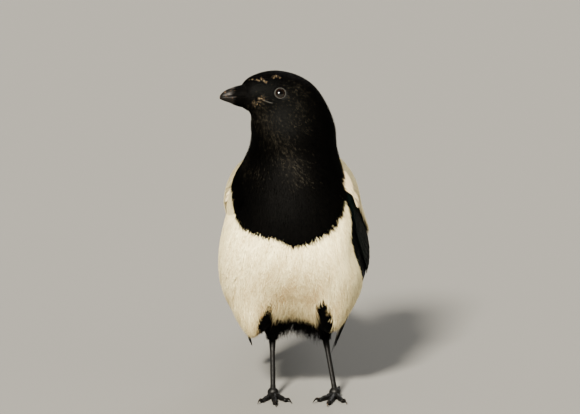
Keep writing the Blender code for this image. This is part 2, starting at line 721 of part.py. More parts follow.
def main():
    clear_scene()
    black = material("black_plumage", BLACK_PLUMAGE)
    white = material("white_plumage", WHITE_PLUMAGE)
    blue = material("wing_gloss", BLUE_GLOSS)
    green = material("tail_gloss", GREEN_GLOSS)
    horn = material("bill_horn", HORN_BLACK)
    scaled = material("leg_scales", SCALE_BLACK)
    brown = material("eye_brown", EYE_BROWN)
    make_head(black)
    neck = body_piece("neck", after(NECK_TOP, GAP), NECK_FOOT, 10, 26, black)
    combine(neck, [wing_bed("bed_" + side, side, black) for side in TUCK], "DIFFERENCE")
    torso = body_piece("torso", after(NECK_FOOT, GAP), TAIL_ROOT, 22, 32, white)
    hollows = [thigh("hollow_" + side, LEGS[side], black, GAP) for side in LEGS]
    hollows += [wing_bed("bed_" + side, side, black) for side in TUCK]
    combine(torso, hollows, "DIFFERENCE")
    for sign, side in ((1, "left"), (-1, "right")):
        ball("eye_" + side, eye_point(sign, 0, 0, 0), EYE_RADIUS, brown)
        make_wing(side, blue, white)
        make_leg(side, black, scaled, horn)
    make_bill("upper", horn)
    make_bill("lower", horn)
    make_tail(green)
    centre_on_floor()


main()
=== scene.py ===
"""A life-size Eurasian magpie, standing upright with its head turned to its right.

The bird faces -Y. Sizes are millimetres from a point on the floor under the shoulders, and
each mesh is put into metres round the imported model's own origin.
"""

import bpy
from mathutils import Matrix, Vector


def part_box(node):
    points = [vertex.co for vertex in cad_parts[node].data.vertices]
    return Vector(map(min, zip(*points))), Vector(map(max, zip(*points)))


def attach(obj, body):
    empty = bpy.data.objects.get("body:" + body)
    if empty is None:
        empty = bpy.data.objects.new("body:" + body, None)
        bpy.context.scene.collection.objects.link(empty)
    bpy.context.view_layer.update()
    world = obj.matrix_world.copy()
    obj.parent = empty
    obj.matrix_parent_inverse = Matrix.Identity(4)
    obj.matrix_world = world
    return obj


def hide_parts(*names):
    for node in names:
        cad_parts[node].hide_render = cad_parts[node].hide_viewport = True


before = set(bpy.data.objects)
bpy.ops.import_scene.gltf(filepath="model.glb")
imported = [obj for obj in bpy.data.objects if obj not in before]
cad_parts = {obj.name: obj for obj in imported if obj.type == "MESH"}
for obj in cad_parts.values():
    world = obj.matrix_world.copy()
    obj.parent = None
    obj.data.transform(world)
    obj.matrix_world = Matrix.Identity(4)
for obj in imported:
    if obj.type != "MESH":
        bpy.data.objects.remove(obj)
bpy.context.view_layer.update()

import math

import bpy
import numpy as np

# THE BODY'S SKIN
# One closed skin under the feathers, from the bill's base over head, neck and body to the
# tail's root. It follows fourteen oval rings, and lies inside the plumage by the coat's depth.

MM = 0.001
UP = np.array([0.0, 0.0, 1.0])
HEAD_TURN = math.radians(73)
HEAD_CENTRE = np.array([-8.0, -22.0, 214.6])
HEAD_FORWARD = np.array([-math.sin(HEAD_TURN), -math.cos(HEAD_TURN), 0.0])
HEAD_LEFT = np.array([math.cos(HEAD_TURN), -math.sin(HEAD_TURN), 0.0])
EYE_RADIUS = 4.2
EYE_FACING = np.array([0.14, 1.0, 0.30]) / math.sqrt(0.14**2 + 1.0 + 0.30**2)
LID_CENTRE = np.array([4.8, 15.7, 3.3])
LID_AHEAD = 3.5


def head_point(forward, left, up):
    """A point by its distance forward of the head's centre, to the head's left and up."""
    forward, left, up = (np.asarray(v, float)[..., None] for v in (forward, left, up))
    return HEAD_CENTRE + forward * HEAD_FORWARD + left * HEAD_LEFT + up * UP


def eye_point(sign, ahead, along, above):
    """A point by its distance ahead of an eyeball's centre, beside it and above it."""
    beside = np.cross(EYE_FACING, UP)
    beside = beside / np.linalg.norm(beside)
    higher = np.cross(beside, EYE_FACING)
    ahead, along, above = (np.asarray(v, float)[..., None] for v in (ahead, along, above))
    centre = LID_CENTRE - LID_AHEAD * EYE_FACING
    place = centre + ahead * EYE_FACING + along * beside + above * higher
    return head_point(place[..., 0], sign * place[..., 1], place[..., 2])


HOME = np.array(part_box("eye_left")).mean(0) - eye_point(1, 0, 0, 0) * MM

# Each ring: centre x y z, turn to the right and pitch in degrees, half sizes towards the back,
# the front and the side, and the powers that shape its back and front halves
RINGS = np.array([
    [-34.8, -30.2, 214.4, 73, 4, 7.0, 7.0, 6.2, 2.0, 2.0],
    [-29.6, -28.6, 216.6, 73, 14, 11.6, 11.4, 10.2, 2.0, 2.0],
    [-18.2, -25.1, 217.0, 73, 40, 17.6, 17.8, 14.6, 2.1, 2.0],
    [-6.8, -21.6, 209.8, 73, 65, 24.0, 23.6, 18.6, 2.1, 2.0],
    [0.4, -19.0, 192.0, 66, 88, 28.4, 28.4, 25.0, 2.0, 2.0],
    [0.6, -15.0, 176.0, 40, 88, 28.5, 29.0, 29.6, 2.0, 2.0],
    [-1.0, -14.0, 160.0, 14, 80, 32.0, 34.0, 35.0, 2.0, 2.1],
    [-0.6, -16.0, 141.0, 3, 68, 44.0, 37.0, 40.8, 1.9, 2.1],
    [0.0, -15.0, 119.5, 0, 57, 56.0, 36.0, 47.4, 1.7, 2.4],
    [0.0, -1.0, 98.0, 0, 44, 61.0, 34.0, 50.4, 1.6, 2.8],
    [0.0, 20.0, 83.5, 0, 34, 56.0, 33.0, 47.5, 1.6, 2.8],
    [0.0, 46.0, 82.0, 0, 26, 42.0, 25.0, 35.0, 1.8, 2.2],
    [0.0, 68.0, 84.0, 0, 18, 25.0, 19.0, 25.0, 2.0, 2.0],
    [0.0, 90.0, 81.0, 0, 10, 12.0, 11.0, 16.0, 2.0, 2.0],
])
LAST = len(RINGS) - 1.0
# The belly hangs in a lobe before each thigh, this far down, round this place, below this level
LOBE_DROP_LEFT, LOBE_DROP_RIGHT = 14.0, 18.0
LOBE_OUT, LOBE_BACK, LOBE_WIDE, LOBE_LONG = 29.0, 2.0, 13.0, 24.0
LOBE_TOP, LOBE_FADE = 100.0, 30.0
# The left side lies this much further in behind the front edge of its wing, round this level
SIDE_PRESS, PRESS_LEVEL, PRESS_HIGH, PRESS_OUT = 4.2, 108.0, 20.0, 44.0


def smooth_rows(knots, table, at):
    """Each column of table as a smooth curve over the rising knots, read at the values in at:
    a cubic between two rows, whose slope at a row is the mean of the slopes on its two sides."""
    knots, table = np.asarray(knots, float), np.asarray(table, float)
    at = np.clip(np.asarray(at, float), knots[0], knots[-1])
    steps = np.diff(knots)
    slopes = np.diff(table, axis=0) / steps[:, None]
    bends = np.concatenate([slopes[:1], (slopes[:-1] + slopes[1:]) / 2, slopes[-1:]])
    i = np.clip(np.searchsorted(knots, at, side="right") - 1, 0, len(steps) - 1)
    h = steps[i][..., None]
    t = (at - knots[i])[..., None] / h
    return (
        table[i] * (1 + 2 * t) * (1 - t) ** 2
        + table[i + 1] * t * t * (3 - 2 * t)
        + bends[i] * h * t * (1 - t) ** 2
        - bends[i + 1] * h * t * t * (1 - t)
    )


def unit(vectors):
    """The same directions, each of length 1."""
    return vectors / np.maximum(np.linalg.norm(vectors, axis=-1, keepdims=True), 1e-12)


def body_surface(along, angle):
    """The plumage's outer surface. along counts the rings from the bill to the tail, and angle
    goes round from the back (0) by the left side. A ring's point is its centre plus the side
    axis times side * sin, and the dorsal axis times back or front * cos, each to a power."""
    along, angle = np.broadcast_arrays(along, angle)
    row = np.moveaxis(smooth_rows(np.arange(LAST + 1), RINGS, along), -1, 0)
    turn, pitch = np.radians(row[3]), np.radians(row[4])
    zero = np.zeros_like(turn)
    forward = np.stack([-np.sin(turn), -np.cos(turn), zero], -1)
    left = np.stack([np.cos(turn), -np.sin(turn), zero], -1)
    dorsal = np.cos(pitch)[..., None] * UP - np.sin(pitch)[..., None] * forward
    cosine, sine = np.cos(angle), np.sin(angle)
    power = 2 / np.where(cosine >= 0, row[8], row[9])
    depth = np.where(cosine >= 0, row[5], row[6])
    rise = np.sign(cosine) * np.abs(cosine) ** power * depth
    reach = np.sign(sine) * np.abs(sine) ** power * row[7]
    points = np.stack(row[:3], -1) + left * reach[..., None] + dorsal * rise[..., None]
    low = np.clip(-cosine, 0, 1) * np.clip((LOBE_TOP - points[..., 2]) / LOBE_FADE, 0, 1)
    across = (np.abs(points[..., 0]) - LOBE_OUT) / LOBE_WIDE
    length = (points[..., 1] - LOBE_BACK) / LOBE_LONG
    drop = np.where(points[..., 0] > 0, LOBE_DROP_LEFT, LOBE_DROP_RIGHT)
    points[..., 2] -= drop * low * np.exp(-(across**2) - length**2)
    level = (points[..., 2] - PRESS_LEVEL) / PRESS_HIGH
    outward = np.clip(points[..., 0] / PRESS_OUT, 0, 1) ** 4
    points[..., 0] -= SIDE_PRESS * np.exp(-(level**2)) * outward
    return points


def body_frame(along, angle):
    """Point, direction towards the tail, outward normal and millimetres for each unit of along,
    from the differences of the surface over a small step each way."""
    step = 0.01
    along = np.clip(along, 0.0, LAST - step)
    here = body_surface(along, angle)
    back = (body_surface(along + step, angle) - here) / step
    round_ = (body_surface(along, angle + step) - here) / step
    return here, unit(back), unit(np.cross(round_, back)), np.linalg.norm(back, axis=-1)


# The folded wing's sheet: distance behind the shoulder, half width and half depth to the back
WING_SLOPE = math.radians(43)
WING_ORIGIN = np.array([0.0, 0.0, 126.0])
WING_REAR = np.array([0.0, math.cos(WING_SLOPE), -math.sin(WING_SLOPE)])
WING_DORSAL = np.array([0.0, math.sin(WING_SLOPE), math.cos(WING_SLOPE)])
WRIST_AT = -25.0
WING_SHEET = np.array([
    [-40.0, 30.5, 31.0],
    [-25.0, 34.5, 36.0],
    [0.0, 37.5, 40.5],
    [20.0, 41.5, 43.0],
    [45.0, 46.0, 42.5],
    [70.0, 43.0, 39.0],
    [100.0, 37.5, 34.0],
    [130.0, 31.0, 28.5],
    [165.0, 24.5, 23.0],
])
# The right wing is held this much closer in, in these shares along it
RIGHT_TUCK = 5.5
TUCK_AT, TUCK_SHARE = [-15.0, 15.0, 70.0, 140.0], [0.0, 1.0, 1.0, 0.0]
# The region that a folded wing covers: distance behind its wrist, low edge and high edge
WING_REGION = np.array([
    [-14.0, 3.0, 20.0],
    [-8.0, -7.0, 33.0],
    [4.0, -12.0, 41.0],
    [20.0, -16.0, 45.0],
    [40.0, -18.0, 46.0],
    [60.0, -20.0, 44.0],
    [80.0, -18.0, 40.0],
    [100.0, -17.0, 36.0],
    [140.0, -17.0, 30.0],
])
# The left wing's front edge lies this much lower over the flank than the right wing's
LEFT_EDGE_LOWER = 8.0
LOWER_AT, LOWER_SHARE = [-4.0, 8.0, 70.0, 90.0], [0.0, 1.0, 1.0, 0.0]


def wing_sizes(side_sign, at):
    """The sheet's half width and half depth at a distance behind the shoulder, less the tuck."""
    sizes = smooth_rows(WING_SHEET[:, 0], WING_SHEET[:, 1:], at)
    tuck = np.where(side_sign > 0, 0.0, RIGHT_TUCK) * np.interp(at, TUCK_AT, TUCK_SHARE)
    return sizes[..., 0] - tuck, sizes[..., 1] - tuck / 2


def height_over_wing(points):
    """How far each point stands above the folded wing's sheet on its side, and how far inside
    the wing's region it lies. It undoes the sheet's ellipse: the angle from the two ratios."""
    rel = points - WING_ORIGIN
    at, up = rel @ WING_REAR, rel @ WING_DORSAL
    wide, deep = wing_sizes(points[..., 0], at)
    ratio = np.hypot(points[..., 0] / wide, up / deep)
    turn = np.arctan2(np.abs(points[..., 0]) / wide, up / deep)
    across = (math.pi / 2 - turn) * (wide + deep) / 2
    back = at - WRIST_AT
    low = np.interp(back, WING_REGION[:, 0], WING_REGION[:, 1])
    low = low - LEFT_EDGE_LOWER * np.interp(back, LOWER_AT, LOWER_SHARE) * (points[..., 0] > 0)
    high = np.interp(back, WING_REGION[:, 0], WING_REGION[:, 2])
    lengthwise = np.minimum(back - WING_REGION[0, 0], WING_REGION[-1, 0] - back)
    inside = np.minimum(np.minimum(across - low, high - across), lengthwise)
    return (ratio - 1) * (wide + deep) / 2, inside


# The coat's depth at rings from the bill to the tail
COAT_DEPTH = [0.5, 0.7, 0.9, 1.3, 1.9, 2.2, 2.4, 2.6, 2.8, 3.0, 3.0, 2.8, 2.2, 1.6]
# Under a folded wing the skin stays this far below the wing's sheet. It is moved in by no more
# than so much, and the move fades in over so much at the wing's edge
UNDER_WING, MOST_PRESS, EDGE_FADE = -2.2, 30.0, 3.0


def coat_depth(along):
    """The coat's depth between the rings, by straight lines."""
    return np.interp(along, np.arange(LAST + 1), COAT_DEPTH)


def skin_point(along, angle):
    """The skin: the outer surface, moved in along its normal by the coat's depth, and further
    where a folded wing lies on it."""
    here, _, normal, _ = body_frame(along, angle)
    place = here - normal * coat_depth(along)[..., None]
    height, inside = height_over_wing(place)
    under = np.clip(inside / EDGE_FADE + 0.3, 0, 1)
    press = np.clip(height - UNDER_WING, 0, MOST_PRESS) * under
    return place - normal * press[..., None], normal


# The bib's lower edge on the breast: distance from the middle, and level as seen from in front
BIB_EDGE = np.array([
    [-46.0, 166.0],
    [-41.0, 146.0],
    [-40.8, 137.0],
    [-39.0, 124.4],
    [-34.0, 115.9],
    [-21.0, 110.2],
    [-7.5, 107.4],
    [-1.0, 103.2],
    [6.0, 103.7],
    [17.7, 108.0],
    [29.0, 115.0],
    [34.7, 125.8],
    [36.7, 136.0],
    [38.0, 146.0],
    [43.0, 166.0],
])
# Degrees from the middle of the back to which the mantle is black, and to which the rump is
MANTLE_ANGLE, RUMP_ANGLE = 62.0, 120.0
# The black widens to the rump from this ring on, over so many rings
RUMP_FROM, RUMP_OVER = 8.9, 1.4
# All is black behind this ring, and the vent from so many rings before it, at these angles
ROOT_FROM, VENT_BEFORE, VENT_ANGLE, VENT_FADE = 11.5, 1.2, 115, 45
# Millimetres for each degree round the body, and for each ring
DEGREE_LONG, RING_LONG = 0.7, 20.0
# Where black thigh feathers part the white belly: middle, highest level, widening with depth
THIGH_WEDGES = [(-15.0, 67.0, 0.6), (20.5, 68.0, 0.85)]
# What a point's height and its distance back add to its level, seen from ten degrees above
SEEN_UP, SEEN_BACK = 0.985, 0.1736


def seen(points):
    """Place across and level of points as they look from in front, ten degrees above level."""
    return points[..., 0], SEEN_UP * points[..., 2] + SEEN_BACK * points[..., 1]


def from_spine(angle):
    """Degrees round the body from the middle of the back, to either side."""
    return np.degrees(np.abs((angle + math.pi) % (2 * math.pi) - math.pi))


def bib_height(points):
    """Millimetres above the bib's lower edge, as seen from in front."""
    across, level = seen(points)
    return level - np.interp(across, BIB_EDGE[:, 0], BIB_EDGE[:, 1])


def blackness(points, along, angle):
    """Above zero where the plumage is black, in about millimetres inside the black: the hood
    and bib above their edge, the back between the wings, the tail's root and vent, and the
    wedges over the thighs."""
    across, level = seen(points)
    bib = bib_height(points)
    round_ = from_spine(angle)
    widened = np.clip((along - RUMP_FROM) / RUMP_OVER, 0, 1) * (RUMP_ANGLE - MANTLE_ANGLE)
    mantle = (MANTLE_ANGLE + widened - round_) * DEGREE_LONG
    vent = VENT_BEFORE * np.clip((round_ - VENT_ANGLE) / VENT_FADE, 0, 1)
    root = (along - ROOT_FROM + vent) * RING_LONG
    dark = np.maximum(np.maximum(bib, mantle), root)
    for middle, top, widening in THIGH_WEDGES:
        wedge = np.clip((top - level) * widening, -9, 8) - np.abs(across - middle)
        dark = np.maximum(dark, np.where(round_ > 90, wedge, -9.0))
    return dark


def mesh_piece(name, points, faces, material, uv=None, values=None, shade=None):
    """A mesh object from millimetre points, arrays of faces of one size each, a map from point
    to image place, named values for each point, and shading normals where they are given.
    Each closed piece's volume is a sum over its faces of the product of three corners, and
    where that is below zero the faces are turned round, so that they face outwards."""
    mesh = bpy.data.meshes.new(name)
    places = points.reshape(-1, 3) * MM + HOME
    about = places - places.mean(0)
    volume = sum(np.einsum("ij,ij->", about[f[:, 0]], np.cross(about[f[:, k]], about[f[:, k + 1]]))
                 for f in faces for k in range(1, f.shape[1] - 1))
    if volume < 0:
        faces = [f[:, ::-1] for f in faces]
    corners = np.concatenate([f.ravel() for f in faces]).astype(np.int32)
    sizes = np.concatenate([np.full(len(f), f.shape[1], np.int32) for f in faces])
    mesh.vertices.add(len(places))
    mesh.vertices.foreach_set("co", places.astype(np.float32).ravel())
    mesh.loops.add(len(corners))
    mesh.loops.foreach_set("vertex_index", corners)
    mesh.polygons.add(len(sizes))
    starts = np.concatenate([[0], np.cumsum(sizes)[:-1]])
    mesh.polygons.foreach_set("loop_start", starts.astype(np.int32))
    mesh.polygons.foreach_set("use_smooth", np.full(len(sizes), True))
    mesh.update(calc_edges=True)
    for layer, places in (uv or {}).items():
        made = mesh.uv_layers.new(name=layer, do_init=False)
        made.uv.foreach_set("vector", places.reshape(-1, 2)[corners].astype(np.float32).ravel())
    for key, value in (values or {}).items():
        made = mesh.attributes.new(key, "FLOAT", "POINT")
        made.data.foreach_set("value", value.astype(np.float32).ravel())
    if shade is not None:
        mesh.normals_split_custom_set_from_vertices(shade.reshape(-1, 3))
    mesh.materials.append(material)
    piece = bpy.data.objects.new(name, mesh)
    bpy.context.scene.collection.objects.link(piece)
    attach(piece, "root")
    return piece


def grid_faces(rows, columns, start=0, wrap=True):
    """Four-sided faces of a grid of points, row after row, round again to the first column."""
    i = np.arange(rows - 1)[:, None] * columns
    j = np.arange(columns if wrap else columns - 1)[None, :]
    k = (j + 1) % columns
    quad = np.stack(np.broadcast_arrays(i + j, i + k, i + columns + k, i + columns + j), -1)
    return quad.reshape(-1, 4) + start


def circle(count):
    """Even angles once round, in radians."""
    return np.linspace(0, 2 * math.pi, count, endpoint=False)


def tube_faces(rows, columns, start=0):
    """A closed tube: its grid of faces and one many-sided face over each end."""
    first = start + np.arange(columns)[None, ::-1]
    last = start + (rows - 1) * columns + np.arange(columns)[None, :]
    return [grid_faces(rows, columns, start), first, last]


def values_group(name, inputs, outputs):
    """An empty shader group with named colour and number sockets."""
    group = bpy.data.node_groups.new(name, "ShaderNodeTree")
    for key, kind, value in inputs:
        socket = group.interface.new_socket(key, in_out="INPUT", socket_type=kind)
        socket.default_value = value
    for key, kind in outputs:
        group.interface.new_socket(key, in_out="OUTPUT", socket_type=kind)
    return group, group.nodes.new("NodeGroupInput"), group.nodes.new("NodeGroupOutput")


def feed(tree, socket, value):
    """Links a socket to another one, or sets it to a number or a colour."""
    if isinstance(value, bpy.types.NodeSocket):
        tree.links.new(value, socket)
    else:
        socket.default_value = value if isinstance(value, float) else (*value, 1.0)


def mixed(tree, factor, first, second):
    """A colour that goes from first to second by factor. Each may be a socket or a colour."""
    node = tree.nodes.new("ShaderNodeMix")
    node.data_type = "RGBA"
    for index, value in ((0, factor), (6, first), (7, second)):
        feed(tree, node.inputs[index], value)
    return node.outputs[2]


def worked(tree, operation, *values, clamp=False):
    """The result of a math node on sockets or numbers."""
    node = tree.nodes.new("ShaderNodeMath")
    node.operation = operation
    node.use_clamp = clamp
    for socket, value in zip(node.inputs, values):
        feed(tree, socket, value)
    return node.outputs[0]


def object_place(tree):
    """Places in the object's own coordinates."""
    return tree.nodes.new("ShaderNodeTexCoord").outputs["Object"]


def noise(tree, vector, scale, detail=3.0):
    """A noise value at a place. The scale may be a socket."""
    node = tree.nodes.new("ShaderNodeTexNoise")
    feed(tree, node.inputs["Scale"], scale)
    node.inputs["Detail"].default_value = detail
    tree.links.new(vector, node.inputs["Vector"])
    return node.outputs["Fac"]


def attribute(tree, name):
    """A named value of the mesh."""
    node = tree.nodes.new("ShaderNodeAttribute")
    node.attribute_name = name
    return node.outputs["Fac"]


def plain_material(name, colour, roughness, settings=None):
    """A material, its shader and its tree, with the shader's plain values set."""
    made = bpy.data.materials.new(name)
    made.use_nodes = True
    shader = made.node_tree.nodes["Principled BSDF"]
    shader.inputs["Base Color"].default_value = (*colour, 1.0)
    shader.inputs["Roughness"].default_value = roughness
    for key, value in (settings or {}).items():
        shader.inputs[key].default_value = value
    return made, made.node_tree, shader


# Down and feather colours: two tones mixed by each feather's own tone and a fine soft noise
down_group, group_in, group_out = values_group(
    "feather_tones",
    [("Deep", "NodeSocketColor", (0, 0, 0, 1)), ("Pale", "NodeSocketColor", (1, 1, 1, 1)),
     ("Tone", "NodeSocketFloat", 0.5), ("Grain", "NodeSocketFloat", 900.0)],
    [("Color", "NodeSocketColor")],
)
grain = noise(down_group, object_place(down_group), group_in.outputs["Grain"], 2.0)
lift = worked(down_group, "MULTIPLY_ADD", grain, 0.5, -0.25)
share = worked(down_group, "ADD", group_in.outputs["Tone"], lift, clamp=True)
tones = mixed(down_group, share, group_in.outputs["Deep"], group_in.outputs["Pale"])
down_group.links.new(tones, group_out.inputs["Color"])

BLACK_DEEP, BLACK_PALE = (0.0001, 0.0001, 0.0001), (0.0013, 0.0011, 0.0008)
WHITE_DEEP, WHITE_PALE = (0.32, 0.19, 0.065), (0.98, 0.88, 0.50)


def toned(tree, deep, pale, tone, scale=900.0):
    """Two tones mixed by the shared group."""
    node = tree.nodes.new("ShaderNodeGroup")
    node.node_tree = down_group
    for key, value in (("Deep", deep), ("Pale", pale), ("Tone", tone), ("Grain", scale)):
        feed(tree, node.inputs[key], value)
    return node.outputs["Color"]


skin_look, tree, shader = plain_material("skin_and_down", (0.1, 0.1, 0.1), 0.85,
                                         {"Specular IOR Level": 0.15})
black = toned(tree, BLACK_DEEP, (0.0008, 0.0008, 0.0007), 0.3)
white = toned(tree, (0.40, 0.27, 0.11), (0.78, 0.66, 0.36), 0.5)
tree.links.new(mixed(tree, attribute(tree, "dark"), white, black), shader.inputs["Base Color"])

SKIN_ROWS, SKIN_SIDES = 230, 150
along = np.linspace(0.0, LAST, SKIN_ROWS)[:, None] + np.zeros(SKIN_SIDES)
angle = circle(SKIN_SIDES) + np.zeros((SKIN_ROWS, 1))
skin, _ = skin_point(along, angle)
dark = np.clip(blackness(body_surface(along, angle), along, angle) / 2.0 + 0.5, 0, 1)

# Thighs: level rings from the hip to the ankle, the left one's x and the right one's, then
# y, z, half width and half depth
THIGHS = np.array([
    [19.0, -15.0, 8.0, 76.0, 13.0, 14.5],
    [20.0, -14.6, 9.4, 66.0, 12.4, 14.0],
    [20.9, -14.2, 13.2, 56.6, 10.0, 11.4],
    [21.6, -13.9, 18.4, 49.0, 7.4, 8.6],
    [22.1, -13.6, 23.4, 43.0, 5.0, 5.8],
    [22.5, -13.5, 26.6, 39.2, 3.2, 3.7],
])
THIGH_END = len(THIGHS) - 1.0
THIGH_COAT = 1.6


def thigh_point(side, down, angle, inset):
    """The thigh's surface: level ellipses round a curved middle line, less an inset."""
    row = np.moveaxis(smooth_rows(np.arange(THIGH_END + 1), THIGHS, down), -1, 0)
    x = row[0 if side > 0 else 1] + (row[4] - inset) * np.sin(angle)
    y = row[2] + (row[5] - inset) * np.cos(angle)
    return np.stack([x, y, row[3]], -1)


THIGH_ROWS, THIGH_SIDES = 40, 40
down = np.linspace(0, THIGH_END, THIGH_ROWS)[:, None] + np.zeros(THIGH_SIDES)
turn = -circle(THIGH_SIDES) + np.zeros((THIGH_ROWS, 1))
inset = np.minimum(THIGH_COAT, 0.3 + THIGH_END - down)
thighs = [thigh_point(side, down, turn, inset).reshape(-1, 3) for side in (1, -1)]
points = np.concatenate([skin.reshape(-1, 3), *thighs])
first_thigh = SKIN_ROWS * SKIN_SIDES
faces = tube_faces(SKIN_ROWS, SKIN_SIDES)
faces += tube_faces(THIGH_ROWS, THIGH_SIDES, first_thigh)
faces += tube_faces(THIGH_ROWS, THIGH_SIDES, first_thigh + THIGH_ROWS * THIGH_SIDES)
dark = np.concatenate([dark.ravel(), np.ones(2 * THIGH_ROWS * THIGH_SIDES)])
skin_piece = mesh_piece("skin", points, faces, skin_look, values={"dark": dark})
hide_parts("head", "neck", "torso", "thigh_left", "thigh_right")

# THE COAT
# Small body feathers over the skin: fine tapering barbs that overlap like thatch, rooted in
# the skin and lying towards the tail. Short on the face, long and loose on belly and flanks.

coat_random = np.random.default_rng(7)
# On the right side the flank's feathers cover the folded wing where they stand this high over it
OVER_WING = 7.6
# Rings from the bill to the tail: barbs for each square millimetre, length, width
COAT_TABLE = np.array([
    [4.2, 2.4, 0.28],
    [4.0, 3.0, 0.28],
    [3.6, 3.8, 0.30],
    [3.2, 4.8, 0.31],
    [2.7, 6.0, 0.33],
    [2.4, 7.0, 0.36],
    [2.2, 8.0, 0.40],
    [2.1, 8.5, 0.43],
    [2.1, 9.0, 0.45],
    [2.0, 10.0, 0.47],
    [1.9, 10.5, 0.50],
    [1.6, 11.0, 0.54],
    [1.6, 10.0, 0.54],
    [1.6, 8.0, 0.50],
])


# Steps of an even sequence of places in a square
EVEN_STEPS = 0.7548776662466927, 0.5698402909980532
RING_END = LAST - 0.02


def coat_roots(count_scale, rows=520, columns=480):
    """Evenly scattered places on the body, so many for each square millimetre: cell areas
    times the density are summed row by row, and a two-number even sequence is read off them."""
    a = (np.arange(rows) + 0.5) / rows * RING_END
    b = (np.arange(columns) + 0.5) / columns * 2 * math.pi
    here, _, _, stretch = body_frame(a[:, None], b[None, :])
    across = np.linalg.norm(np.roll(here, -1, 1) - here, axis=-1)
    density = smooth_rows(np.arange(LAST + 1), COAT_TABLE[:, :1], a)[:, 0][:, None]
    height, inside = height_over_wing(here)
    bare = (inside < 1.5) | ((height > OVER_WING) & (here[..., 0] < 0))
    weight = across * stretch * RING_END / rows * density * bare * count_scale
    count = int(weight.sum())
    row_share = np.concatenate([[0], np.cumsum(weight.sum(1))]) / weight.sum()
    column_share = np.cumsum(weight, 1) / np.maximum(weight.sum(1, keepdims=True), 1e-9)
    order = np.arange(count)
    first, second = ((0.5 + order * step) % 1 for step in EVEN_STEPS)
    row = np.clip(np.searchsorted(row_share, first, side="right") - 1, 0, rows - 1)
    part = (first - row_share[row]) / np.maximum(row_share[row + 1] - row_share[row], 1e-12)
    flat = (column_share + np.arange(rows)[:, None]).ravel()
    column = np.clip(np.searchsorted(flat, row + second) - row * columns, 0, columns - 1)
    along = (row + part) / rows * RING_END
    angle = (column + coat_random.random(count)) / columns * 2 * math.pi
    return along, angle


def wander(u, v, seed):
    """A soft unevenness from about -1 to 1: the sum of nine sines, each with its own heading,
    length and phase."""
    waves = np.random.default_rng(seed)
    total = 0.0
    for heading, pace, phase in waves.uniform(0, 1, (9, 3)) * (6.28, 1.0, 6.28):
        place = u * math.cos(heading) + v * math.sin(heading)
        total = total + np.sin(place * (0.6 + pace) + phase)
    return total / 3.5


STATIONS = np.array([0.0, 0.5, 1.0])
BLADE_QUADS = np.array([[0, 3, 4, 1], [1, 4, 5, 2], [2, 5, 3, 0]])
BLADE_TRIANGLES = np.array([[3, 6, 4], [4, 6, 5], [5, 6, 3], [0, 1, 2]])
BLADE_SPOTS = np.array([[0, 0], [0.5, 0], [1, 0], [0, 0.5], [0.5, 0.5], [1, 0.5], [0.5, 1.0]])
BLADE_POINTS = len(BLADE_SPOTS)
# Width of a barb's patch on the unwrapped skin
PATCH = 0.003


def blades(name, middle, normal, width, tone, place, material, softness=0.88):
    """Barbs in one mesh. A barb has a middle line of three points, with a flat three-sided
    section at two of them and a point at the third. Its shading normals lean to the plumage's
    own normal by softness, because fine barbs scatter light as a whole feather does."""
    count = len(middle)
    run = np.stack([middle[:, 1] - middle[:, 0], middle[:, 2] - middle[:, 0]], 1)
    upright = normal[:, :2]
    side = unit(np.cross(upright, run))
    half = width[:, None, None] / 2 * np.array([0.8, 1.0])[:, None]
    left = middle[:, :2] - side * half
    right = middle[:, :2] + side * half
    crest = middle[:, :2] + upright * half * 0.5
    points = np.stack([left, crest, right], 2).reshape(count, 6, 3)
    points = np.concatenate([points, middle[:, 2:]], 1)
    shade = np.stack([
        unit(upright * softness - side * (1 - softness)), upright,
        unit(upright * softness + side * (1 - softness)),
    ], 2).reshape(count, 6, 3)
    shade = np.concatenate([shade, normal[:, 2:]], 1)
    base = np.arange(count)[:, None, None] * BLADE_POINTS
    faces = [(base + BLADE_QUADS).reshape(-1, 4), (base + BLADE_TRIANGLES).reshape(-1, 3)]
    uv = place[:, None, :] + (BLADE_SPOTS - 0.5) * PATCH
    return mesh_piece(name, points, faces, material, uv={"OFBake": uv},
                      values={"tone": np.repeat(tone, BLADE_POINTS)}, shade=shade)


def lie_on_body(along, angle, length, depth, sway, rise, droop):
    """Middle lines and normals of barbs on the body: the surface's points from the root by the
    barb's length, swayed round it, lifted from the skin to the coat's surface, and sagging
    with the square of the way."""
    _, _, _, stretch = body_frame(along, angle)
    wanted = along[:, None] + (length / stretch)[:, None] * STATIONS
    at = np.clip(wanted, 0.0, RING_END)
    here, back, normal, _ = body_frame(at, angle[:, None] + sway[:, None] * STATIONS**1.5)
    over = (wanted - at) * stretch[:, None]
    lift = -depth[:, None] * (1 - STATIONS) ** 1.5 + rise[:, None] * STATIONS**2
    lift[:, 0] -= 0.25
    middle = here + back * over[..., None] + normal * lift[..., None]
    middle[..., 2] -= droop[:, None] * STATIONS**2
    return middle, normal


def body_place(along, angle):
    """Place of a root on the skin's unwrapped shape."""
    return np.stack([angle / (2 * math.pi) % 1, along / LAST], -1) * 0.98 + 0.01


def coat_material(name, deep, pale, roughness, specular):
    """Feather barbs in two tones by each barb's own tone."""
    made, tree, shader = plain_material(name, pale, roughness, {"Specular IOR Level": specular})
    tree.links.new(toned(tree, deep, pale, attribute(tree, "tone")), shader.inputs["Base Color"])
    return made


black_coat = coat_material("black_plumage_look", BLACK_DEEP, BLACK_PALE, 0.62, 0.025)
white_coat = coat_material("white_plumage_look", WHITE_DEEP, WHITE_PALE, 0.8, 0.2)
frayed_coat = coat_material(
    "frayed_tips_look", (0.003, 0.0022, 0.0015), (0.30, 0.22, 0.13), 0.7, 0.1)
# Pale grey barbs: the throat's real grey shafts, and painted sheen on the neck and ear coverts
shaft_and_sheen_coat = coat_material(
    "grey_shafts_and_sheen_look", (0.001, 0.0009, 0.0007), (0.040, 0.035, 0.024), 0.6, 0.05)


def black_tones(number, softness=4.5):
    """Random tones of black barbs: most near the deep one, few pale."""
    return coat_random.beta(1.1, softness, number)


